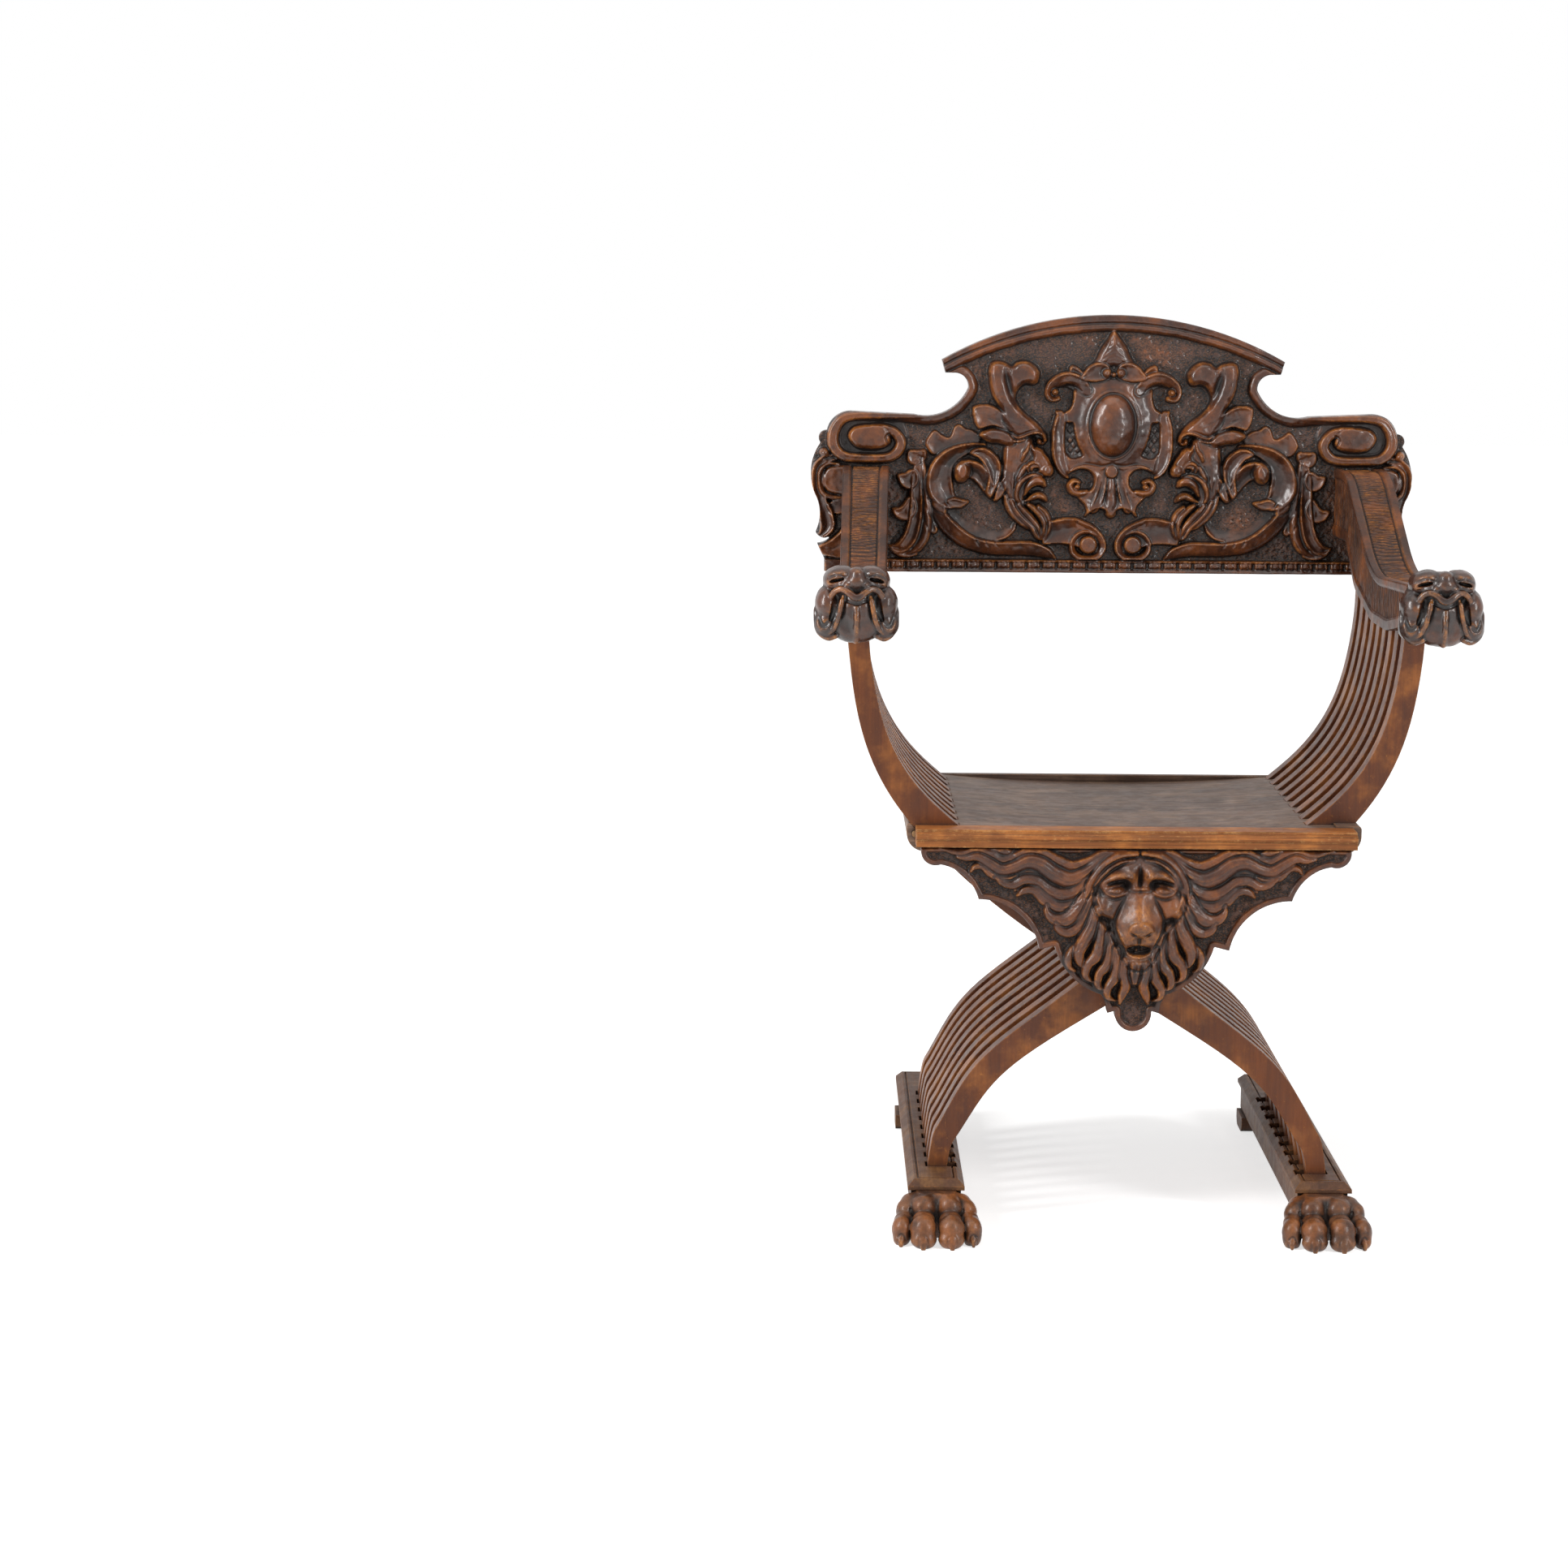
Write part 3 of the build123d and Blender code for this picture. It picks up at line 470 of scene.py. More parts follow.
# grid points and quads inside the outline, with the outermost points moved onto it
def plateFaces(carving, outline, inside):
    cell = inside[:-1, :-1] | inside[1:, :-1] | inside[:-1, 1:] | inside[1:, 1:]
    used = np.zeros(inside.shape, bool)
    for i in (0, 1):
        for j in (0, 1):
            used[i : i + cell.shape[0], j : j + cell.shape[1]] |= cell
    number = np.full(inside.shape, -1)
    number[used] = np.arange(used.sum())
    points = np.stack([carving.x[used], carving.z[used]], 1)
    outer = ~inside[used]
    samples = denser(outline, 0.25)
    _, k = nearestOn(points[outer, 0], points[outer, 1], samples)
    points[outer] = samples[k]
    r, c = np.nonzero(cell)
    quads = np.stack([number[r, c], number[r, c + 1], number[r + 1, c + 1], number[r + 1, c]], 1)
    return points, quads, used, outer


# worn edges, broad high surfaces (rubbed and partly painted light) and painted shade in what lies deep,
# each from 0 to 1
def heightAttributes(h, step, fine=0.9, coarse=4.5):
    small = h - blurred(h, fine / step)
    large = h - blurred(h, coarse / step)
    wide = h - blurred(h, 2 * coarse / step)
    wear = np.clip((small - 0.26) / 0.5, 0, 1)
    high = np.clip(large / 3.0, 0, 1)
    # painted shade: the deeper a point lies below its surroundings, the darker
    paintedShade = np.clip(-large / 2.4, 0, 1) * 0.7 + np.clip(-small / 0.6, 0, 1) * 0.5
    paintedShade = paintedShade + np.clip(-wide / 5.0, 0, 1) * 0.7
    return wear, high, np.clip(paintedShade, 0, 1)


# a board carved on its front: heights stand forward of y = level, and the back is flat
def carvedPlate(name, carving, outline, level, back, material, nodes, rounding=1.4, ground=0.6):
    d, inside = edgeDistance(carving, outline, rounding + 2)
    h = carving.h - roundedOff(d, rounding)
    points, quads, used, outer = plateFaces(carving, outline, inside)
    wear, high, paintedShade = heightAttributes(carving.h, carving.step)
    # the rubbed spots, partly painted highlights, lighten the raised surfaces and the edges
    high = np.clip(high + carving.rub, 0, 1)
    wear = np.clip(wear + 1.4 * carving.rub, 0, 1.8)
    flat = np.clip(1 - carving.h / ground, 0, 1)
    height = h[used]
    # a point on the edge takes the height just inside it
    rows, cols = np.nonzero(used)
    for i in np.nonzero(outer)[0]:
        r, c = rows[i], cols[i]
        around = inside[max(r - 1, 0) : r + 2, max(c - 1, 0) : c + 2]
        values = carving.h[max(r - 1, 0) : r + 2, max(c - 1, 0) : c + 2]
        height[i] = values[around].mean() - rounding if around.any() else -rounding
    front = np.stack([points[:, 0], level - height, points[:, 1]], 1)
    edges = dict.fromkeys(pair for quad in quads.tolist() for pair in zip(quad, quad[1:] + quad[:1]))
    after = {a: b for a, b in edges if (b, a) not in edges}
    start, b = next(iter(after.items()))
    rim = [start]
    while b != start:
        rim.append(b)
        b = after[b]
    rim = np.array(rim)
    n = len(front)
    behind = front[rim].copy()
    behind[:, 1] = back
    ids = n + np.arange(len(rim))
    walls = np.stack([rim, ids, np.roll(ids, -1), np.roll(rim, -1)], 1)
    allPoints = np.vstack([front, behind])
    faces = quads.tolist() + walls.tolist() + [ids[::-1].tolist()]
    lo, size = points.min(0), np.ptp(points, axis=0).max() * 1.02
    flatUv = (points - lo) / size
    tallest = flatUv[:, 1].max()
    part = np.linspace(0, 1, len(rim) + 1)
    corners = ((part[:-1], 0.97), (part[:-1], 1.0), (part[1:], 1.0), (part[1:], 0.97))
    wallUv = np.stack([np.stack([u, np.full(len(rim), v)], 1) for u, v in corners], 1)
    share = min(1.0, 0.47 / tallest)
    frontUv = flatUv[quads] * share
    backUv = flatUv[rim][::-1] * share + np.array([0, 0.485])
    uvs = np.vstack([frontUv.reshape(-1, 2), wallUv.reshape(-1, 2), backUv])
    extra = np.zeros(len(rim))
    layers = [
        ("wear", np.concatenate([wear[used], extra])),
        ("high", np.concatenate([high[used], extra])),
        ("paintedShade", np.concatenate([paintedShade[used], extra])),
        ("ground", np.concatenate([flat[used], extra])),
    ]
    piece = addPiece(name, allPoints, faces, nodes, material, layers, uvs)
    piece.data.set_sharp_from_angle(angle=math.radians(70))
    return piece


# a sculpted lump, with wear, raised surfaces (rubbed and partly painted light) and painted shade from how
# far it stands out of its own blur
def carvedClay(name, clay, material, nodes):
    points, faces = clay.mesh()
    cap = np.clip(clay.d, -8, 8)
    small = clay.fieldAt(blurred(cap, 1.6 / clay.voxel, 2) - cap, points)
    large = clay.fieldAt(blurred(cap, 3.6 / clay.voxel, 2) - cap, points)
    wear = np.clip((small - 0.18) / 0.4, 0, 1)
    high = np.clip(large / 1.6, 0, 1)
    # painted shade in the clefts of the lump
    paintedShade = np.clip(-small / 0.35, 0, 1) * 0.5 + np.clip(-large / 1.0, 0, 1) * 0.8
    layers = [
        ("wear", wear),
        ("high", high),
        ("paintedShade", np.clip(paintedShade, 0, 1)),
        ("ground", np.zeros(len(points))),
    ]
    return addPiece(name, points, faces.tolist(), nodes, material, layers)


# materials

# linear colour of an sRGB hex code
def linear(code):
    parts = [int(code[i : i + 2], 16) / 255 for i in (1, 3, 5)]
    return [p / 12.92 if p <= 0.04045 else ((p + 0.055) / 1.055) ** 2.4 for p in parts] + [1.0]


# adds a node; an input is a value or another node's output
def add(tree, kind, inputs=None, **settings):
    node = tree.nodes.new(kind)
    for key, value in settings.items():
        setattr(node, key, value)
    for key, value in (inputs or {}).items():
        socket = node.inputs[key]
        if isinstance(value, bpy.types.NodeSocket):
            tree.links.new(value, socket)
        else:
            socket.default_value = value
    return node


def mixed(tree, factor, a, b, blend="MIX"):
    node = add(tree, "ShaderNodeMix", data_type="RGBA", blend_type=blend)
    for key, value in ((0, factor), (6, a), (7, b)):
        if isinstance(value, bpy.types.NodeSocket):
            tree.links.new(value, node.inputs[key])
        else:
            node.inputs[key].default_value = value
    return node.outputs[2]


def math2(tree, operation, a, b=0.0, c=0.0, clamp=False):
    node = add(tree, "ShaderNodeMath", {0: a, 1: b, 2: c}, operation=operation)
    node.use_clamp = clamp
    return node.outputs[0]


# 0 below low, 1 above high, smooth between
def ramp(tree, value, low, high):
    node = add(tree, "ShaderNodeMapRange", {"Value": value, "From Min": low, "From Max": high},
               interpolation_type="SMOOTHSTEP")
    return node.outputs["Result"]


# noise whose features are about size mm, stretched along an axis
def noiseAt(tree, place, size, detail, rough, stretch, seed):
    scaled = add(tree, "ShaderNodeMapping", {
        "Vector": place,
        "Location": (seed, seed * 0.7, seed * 1.3),
        "Scale": [s / (size * mm) for s in stretch],
    })
    inputs = {"Vector": scaled.outputs[0], "Scale": 1.0, "Detail": detail, "Roughness": rough}
    return add(tree, "ShaderNodeTexNoise", inputs).outputs["Fac"]


# dark waxed walnut: painted shade in the hollows, rubbed and partly painted light on what stands out
def makeWood(name, look):
    material = bpy.data.materials.new(name)
    material.use_nodes = True
    tree = material.node_tree
    tree.nodes.clear()
    calc, mix, fade = (partial(function, tree) for function in (math2, mixed, ramp))
    tones = {key: linear(look[key]) for key in ("dark", "body", "warm", "glow", "rubbed", "shadeTone")}
    place = add(tree, "ShaderNodeTexCoord").outputs["Object"]
    grain = look["grain"]
    stretches = {"coarse": grain, "fine": [g if g == 1 else g * 0.5 for g in grain], "chips": grain}
    coarse, fine, blotch, speck, chips, scuff, tool = (
        noiseAt(tree, place, stretch=stretches.get(key, (1, 1, 1)), **row) for key,
            row in patterns.items()
    )
    if look["carved"]:
        wear, high, paintedShade, ground = (
            add(tree, "ShaderNodeAttribute", attribute_name=key).outputs["Fac"]
            for key in ("wear", "high", "paintedShade", "ground")
        )
    else:
        flatNormal = add(tree, "ShaderNodeNewGeometry").outputs["Normal"]
        bevel = add(tree, "ShaderNodeBevel", {"Radius": look["edge"] * mm}, samples=4).outputs[0]
        same = add(tree, "ShaderNodeVectorMath", {0: flatNormal, 1: bevel}, operation="DOT_PRODUCT")
        edge = calc("SUBTRACT", 1.0, same.outputs["Value"])
        ragged = calc("MULTIPLY_ADD", speck, 0.3, calc("SUBTRACT", edge, 0.15))
        wear = fade(ragged, look["edgeFrom"], look["edgeFrom"] + 0.09)
        # painted shade in corners and gaps between parts, from ambient occlusion
        corner = add(tree, "ShaderNodeAmbientOcclusion", {"Distance": look["corner"] * mm}, samples=4)
        paintedShade = fade(corner.outputs["AO"], look["unshaded"], look["shaded"])

    # bare wood, with the grain, warmer blotches and chips; on carving, broad raised surfaces warmer and
    # lighter, partly rubbed and partly painted light
    base = mix(fade(coarse, 0.3, 0.7), tones["dark"], tones["body"])
    base = mix(fade(blotch, 0.45, 0.72), base, tones["warm"])
    if look["carved"]:
        rubbedAndLit = calc("MULTIPLY", high, calc("MULTIPLY_ADD", fade(scuff, 0.4, 0.62), 0.9, 0.25))
        base = mix(calc("MULTIPLY", rubbedAndLit, look["highShare"]), base, tones["warm"])
        rubbedAndLitPatches = calc("MULTIPLY", fade(scuff, 0.55, 0.7), calc("MULTIPLY", high, 0.55))
        base = mix(rubbedAndLitPatches, base, tones["glow"])
    streak = calc("MULTIPLY_ADD", fade(fine, 0.35, 0.75), look["streak"], 1 - look["streak"] / 2)
    grey = add(tree, "ShaderNodeCombineColor", {"Red": streak, "Green": streak, "Blue": streak})
    base = mix(1.0, base, grey.outputs[0], "MULTIPLY")
    if look["chips"]:
        base = mix(calc("MULTIPLY", fade(chips, 0.66, 0.72), look["chips"]), base, tones["rubbed"])

    # rubbed edges, painted shade and the punched ground
    patchy = calc("MULTIPLY_ADD", fade(speck, 0.38, 0.66), 0.8, 0.2)
    rub = calc("MULTIPLY", wear, patchy, clamp=True)
    if look["carved"]:
        rub = calc("MULTIPLY", rub, calc("MULTIPLY_ADD", fade(scuff, 0.38, 0.58), 0.85, 0.25))
    rub = calc("MULTIPLY", rub, look["rub"])
    # near black painted shade over the hollows and corners, which are also made rougher
    deep = calc("MULTIPLY", paintedShade, look["paintedShade"], clamp=True)
    colour = mix(deep, mix(rub, base, tones["rubbed"]), tones["shadeTone"])
    rough = calc("MULTIPLY_ADD", speck, 0.16, look["rough"])
    rough = calc("MULTIPLY_ADD", fade(scuff, 0.35, 0.65), 0.1, rough)
    rough = calc("MULTIPLY_ADD", deep, 0.3, rough)
    bump = calc("MULTIPLY_ADD", fine, 0.35, calc("MULTIPLY", speck, 0.5))
    if look["carved"]:
        dots = [1 / (size * mm) for size in punch]
        scaled = add(tree, "ShaderNodeMapping", {"Vector": place, "Scale": dots})
        cells = add(tree, "ShaderNodeTexVoronoi", {"Vector": scaled.outputs[0], "Scale": 1.0})
        tooled = cells.outputs["Distance"]
        groundTone = linear(look.get("groundTone", look["dark"]))
        # the punched ground, mottled by a cell pattern towards the painted shade tone
        pricked = mix(fade(tooled, 0.15, 0.65), groundTone, tones["shadeTone"])
        colour = mix(calc("MULTIPLY", ground, 0.6), colour, pricked)
        rough = calc("MULTIPLY_ADD", ground, 0.22, rough)
        bump = calc("MULTIPLY_ADD", tool, look["tool"], bump)
        bump = calc("ADD", bump, calc("MULTIPLY", calc("MULTIPLY", tooled, 4.0), ground))
    height = {"Strength": look["bump"], "Distance": 0.6 * mm, "Height": bump}
    bumped = add(tree, "ShaderNodeBump", height)
    if not look["carved"]:
        tree.links.new(bevel, bumped.inputs["Normal"])
    surface = add(tree, "ShaderNodeBsdfPrincipled", {
        "Base Color": colour,
        "Roughness": rough,
        "Normal": bumped.outputs[0],
        "Coat Weight": look["coat"],
        "Coat Roughness": 0.14,
        "Specular IOR Level": look["specular"],
    })
    output = add(tree, "ShaderNodeOutputMaterial")
    tree.links.new(surface.outputs[0], output.inputs[0])
    return material


def makeSteel():
    material = bpy.data.materials.new("screwSteel")
    material.use_nodes = True
    surface = material.node_tree.nodes["Principled BSDF"]
    surface.inputs["Base Color"].default_value = linear("#6f6a63")
    surface.inputs["Metallic"].default_value = 1.0
    surface.inputs["Roughness"].default_value = 0.42
    return material


# sizes in mm; the sizes of the punched dots are along x, y and z
punch = (2.4, 2.4, 1.7)
patterns = {
    "coarse": {"size": 34, "detail": 4, "rough": 0.6, "seed": 3.1},
    "fine": {"size": 2.6, "detail": 3, "rough": 0.6, "seed": 7.7},
    "blotch": {"size": 48, "detail": 4, "rough": 0.62, "seed": 1.7},
    "speck": {"size": 5.5, "detail": 4, "rough": 0.7, "seed": 9.3},
    "chips": {"size": 11, "detail": 5, "rough": 0.75, "seed": 5.9},
    "scuff": {"size": 15, "detail": 5, "rough": 0.7, "seed": 4.4},
    "tool": {"size": 6.5, "detail": 2, "rough": 0.5, "seed": 2.2},
}
walnut = {
    "dark": "#2c150b",
    "body": "#432110",
    "warm": "#75401c",
    # tone of the brightest raised patches, partly rubbed and partly painted light
    "glow": "#8a4a22",
    "rubbed": "#b87638",
    # near black tone of the painted shade
    "shadeTone": "#070302",
    "carved": False,
    "grain": (1, 1, 1),  # stretch of the grain along x, y and z
    "streak": 0.25,
    "chips": 0.0,
    "edge": 1.6,  # mm
    "edgeFrom": 0.06,
    "rub": 0.9,
    # share of the warm tone on broad raised surfaces, partly rubbed and partly painted light
    "highShare": 0.55,
    # painted shade in corners: reach in mm, the occlusion where it starts and where it is full, and its
    # strength
    "corner": 9,  # mm
    "unshaded": 0.75,
    "shaded": 0.15,
    "paintedShade": 0.9,
    "rough": 0.3,
    "tool": 1.8,
    "bump": 0.35,
    "coat": 0.0,
    "specular": 0.5,
}
woods = {
    "carvedWalnut": {
        **walnut, "carved": True, "groundTone": "#66432c", "rub": 0.62, "highShare": 0.5,
        "rough": 0.2, "specular": 0.42, "coat": 0.28,
    },
    "apronWalnut": {
        **walnut, "carved": True, "groundTone": "#66432c", "rub": 0.62, "highShare": 0.5,
        "rough": 0.31, "specular": 0.42, "coat": 0.12, "bump": 0.5,
    },
    "armWalnut": {**walnut, "carved": True, "body": "#452615", "rub": 0.7, "rough": 0.32,
        "specular": 0.35},
    "maskWalnut": {
        **walnut, "carved": True, "dark": "#1f0e07", "body": "#2f160c", "warm": "#5c3017",
        "rub": 0.65, "highShare": 0.3, "rough": 0.2, "specular": 0.42, "coat": 0.28, "bump": 0.5,
    },
    "pawWalnut": {
        **walnut, "carved": True, "body": "#67442e", "warm": "#95592f", "rubbed": "#c08a58",
        "rub": 0.6, "highShare": 0.7, "rough": 0.28, "specular": 0.35, "coat": 0.1, "bump": 0.6,
    },
    "staveWalnut": {
        **walnut, "grain": (1, 1, 0.12), "dark": "#482310", "body": "#693716", "warm": "#8a5226",
        "chips": 0.5, "edge": 1.6, "edgeFrom": 0.03, "corner": 7, "unshaded": 0.95, "shaded": 0.3,
        "paintedShade": 1.0, "rough": 0.3, "specular": 0.35,
    },
    "seatWalnut": {
        **walnut, "grain": (0.07, 1, 1), "dark": "#58443a", "body": "#7c6455", "warm": "#8d7360",
        "streak": 0.7, "corner": 16, "rough": 0.4, "specular": 0.3,
    },
    "nosingWalnut": {
        **walnut, "grain": (0.06, 1, 1), "dark": "#6b4020", "body": "#985a2b", "warm": "#bd773a",
        "rubbed": "#d9a468", "streak": 0.7, "chips": 0.4, "edge": 2.4, "edgeFrom": 0.03,
        "rough": 0.4, "specular": 0.3,
    },
    "runnerWalnut": {
        **walnut, "grain": (1, 0.1, 1), "dark": "#4a3022", "body": "#61402b", "warm": "#74502f",
        "streak": 0.4, "rough": 0.42, "specular": 0.3,
    },
    "pegWood": {**walnut, "grain": (1, 0.2, 1), "dark": "#8a6a45", "body": "#9a7a52", "warm": "#a5835a"},
}
materials = {name: makeWood(name, look) for name, look in woods.items()}
materials["screwSteel"] = makeSteel()
print("materials", len(materials))


# back panel

# in mm; level is where the carving starts, and the steps are for a quick and a full run
panel = {
    "level": 207.0,
    "back": 226.0,
    "bottom": 665,
    "top": 962,
    "crestRadius": 416.0,
    "crestTop": 959.4,
    "beadPitch": 17.3,
    "beadZ": 675.1,
    "steps": (1.0, 0.8),
    "seed": 4,
}


# a closed outline from the points of its x > 0 half, top to bottom
def bothSides(half):
    return half + [(-x, z) for x, z in half[::-1] if abs(x) > 0.01]


# the big acanthus C on the x > 0 half, its curl, the fringe and the leaf beside the arm
def carveScrollAndLeaves(c):
    c.leaf([(212, 812), (207, 824), (201, 828.5), (193, 823), (186, 820.5), (183, 824), (180, 832),
        (174, 835.5), (167, 831), (159, 829), (152, 824), (150, 816), (165, 814), (185, 808), (202, 800)],
        6.5, 2.5)
    # the leaf beside the arm: body, three lobes and a curled tip
    c.shape([(212, 790), (218, 797), (226, 796), (226, 786), (230, 778), (231, 764), (232, 752),
        (236, 746), (236, 738), (233, 726), (235, 714), (239, 704), (243, 698), (240, 688), (232, 685),
        (222, 687), (214, 692), (209, 704), (204, 716), (206, 735), (210, 760), (212, 780)], 8.5, 3)
    c.leaf([(231.5, 805.5), (233, 798), (231, 791.5), (225, 788.5), (217, 790), (211, 797), (212, 806),
        (222, 806)], 9.5, 3.2)
    c.leaf([(244, 778), (242.5, 770), (238, 764), (231, 761), (223, 764), (219, 773), (222, 783),
        (229, 784), (236, 780)], 11.5, 4.2)
    c.leaf([(249.5, 739), (247, 731.5), (241.5, 727), (234, 725.5), (226, 729), (221, 740), (225, 752),
        (232, 752), (240, 742)], 12, 4.4)
    c.band([(219, 797, 1.5, 8), (221, 784, 5, 10), (222, 764, 6.5, 11.5), (222, 744, 7, 12.5),
        (224, 724, 7.5, 13), (229, 707, 8, 13), (237, 697, 7, 12.5), (245, 694, 4.5, 11.5),
        (252, 696.5, 1.2, 9)], "trough", cut=1.6)
    c.leaf([(252, 696.5), (249, 690), (243, 685.5), (235, 683), (226, 684), (219, 688), (226, 694),
        (236, 693), (245, 693.5)], 11, 3)
    c.band([(215, 796, 1.5, 8), (212.5, 776, 4, 10.5), (209.5, 750, 4.8, 11.5), (208.5, 728, 5.2, 12),
        (211, 710, 5.5, 12), (217, 697, 5, 11.5), (226, 690, 3, 10), (233, 688, 1.2, 8)], "roll", cut=2)
    # the lower leaf and the cup over it
    c.leaf([(214, 747), (207, 733), (200, 724), (197, 714), (203, 710.5), (210, 720), (214, 733)], 8.5,
        3.2)
    cup = [(109, 723, 2, 7), (113.5, 716, 4, 8), (123, 711, 6.5, 8.5), (137, 709.5, 8, 9),
        (151, 711, 8.5, 9), (165, 717, 8.5, 9), (178, 727, 7.5, 9), (189, 737, 4, 8)]
    c.band(cup, "bowl", cut=1.2)
    c.band([(62, 682.5, 1.2, 7), (74, 690, 6.5, 10), (92, 694.5, 8.5, 12), (114, 694.5, 8.2, 12.5),
        (136, 695, 8, 12.5), (156, 699.5, 8.2, 12.5), (172, 708, 8.8, 13), (187, 721, 9, 13.5),
        (198, 735, 8, 13.5), (204, 750, 5, 12)], "lean", cut=2.2)
    for x, z in ((152.5, 702.5), (141.5, 701), (131.5, 701.5)):
        c.line([(x - 3, z - 5), (x, z), (x + 1, z + 6)], 2.6, 3.2)
    # the C itself, its lip and the stub under it
    c.band([(146, 811, 3.5, 11), (163, 808.5, 6, 13), (179, 802, 9, 14.5), (190, 792, 12, 15.5),
        (195.5, 778, 14.5, 16), (195.5, 763, 15.5, 16), (189.5, 751.5, 12, 14.5), (178, 746.5, 6.5, 12),
        (164, 747.5, 1.8, 9)], "shell", cut=2.2)
    c.leaf([(188, 748), (181.5, 741), (171.5, 740), (161.5, 747.5), (170, 750.5), (180, 752.5)], 12.5,
        3.5, 1.2)
    c.shape([(204, 750), (196, 746), (188.5, 747), (187, 741), (187, 734.5), (192, 732.5), (199, 736),
        (205, 743)], 13.5, 3.5, 1)
    c.line([(189, 747), (196, 744), (203, 747)], 1.6, 1.6)
    # the arm that curls in, its flap, its eye and the small leaf at its foot
    c.band([(132, 750, 3, 11), (138, 760, 6.5, 13), (144, 772, 9, 15), (153, 782, 10.5, 16.5),
        (163, 785, 10.5, 17.5), (170, 784, 9, 17.5)], "shell", cut=2.4)
    c.leaf([(162, 803), (155.5, 808.5), (145.5, 809.5), (136, 804.5), (128.5, 796), (125.5, 785),
        (127.5, 772), (133, 760), (138, 752), (143, 759), (141.5, 769), (141, 779), (145, 788),
        (151, 796), (157, 799.5)], 17, 7, 1.3, cut=2.4)
    c.dome(170, 782, 9.8, 13.6, 19.5, 14, edge=8, cut=2.6)
    c.line([(175.5, 794), (166.5, 791), (163.5, 783), (166, 773)], 2.4, 2.2)
    c.leaf([(134, 749), (131.5, 762), (127, 772), (122, 776.5), (118.5, 771), (120.5, 761), (127, 751)],
        15.5, 3.4, 1.2, cut=2.4)


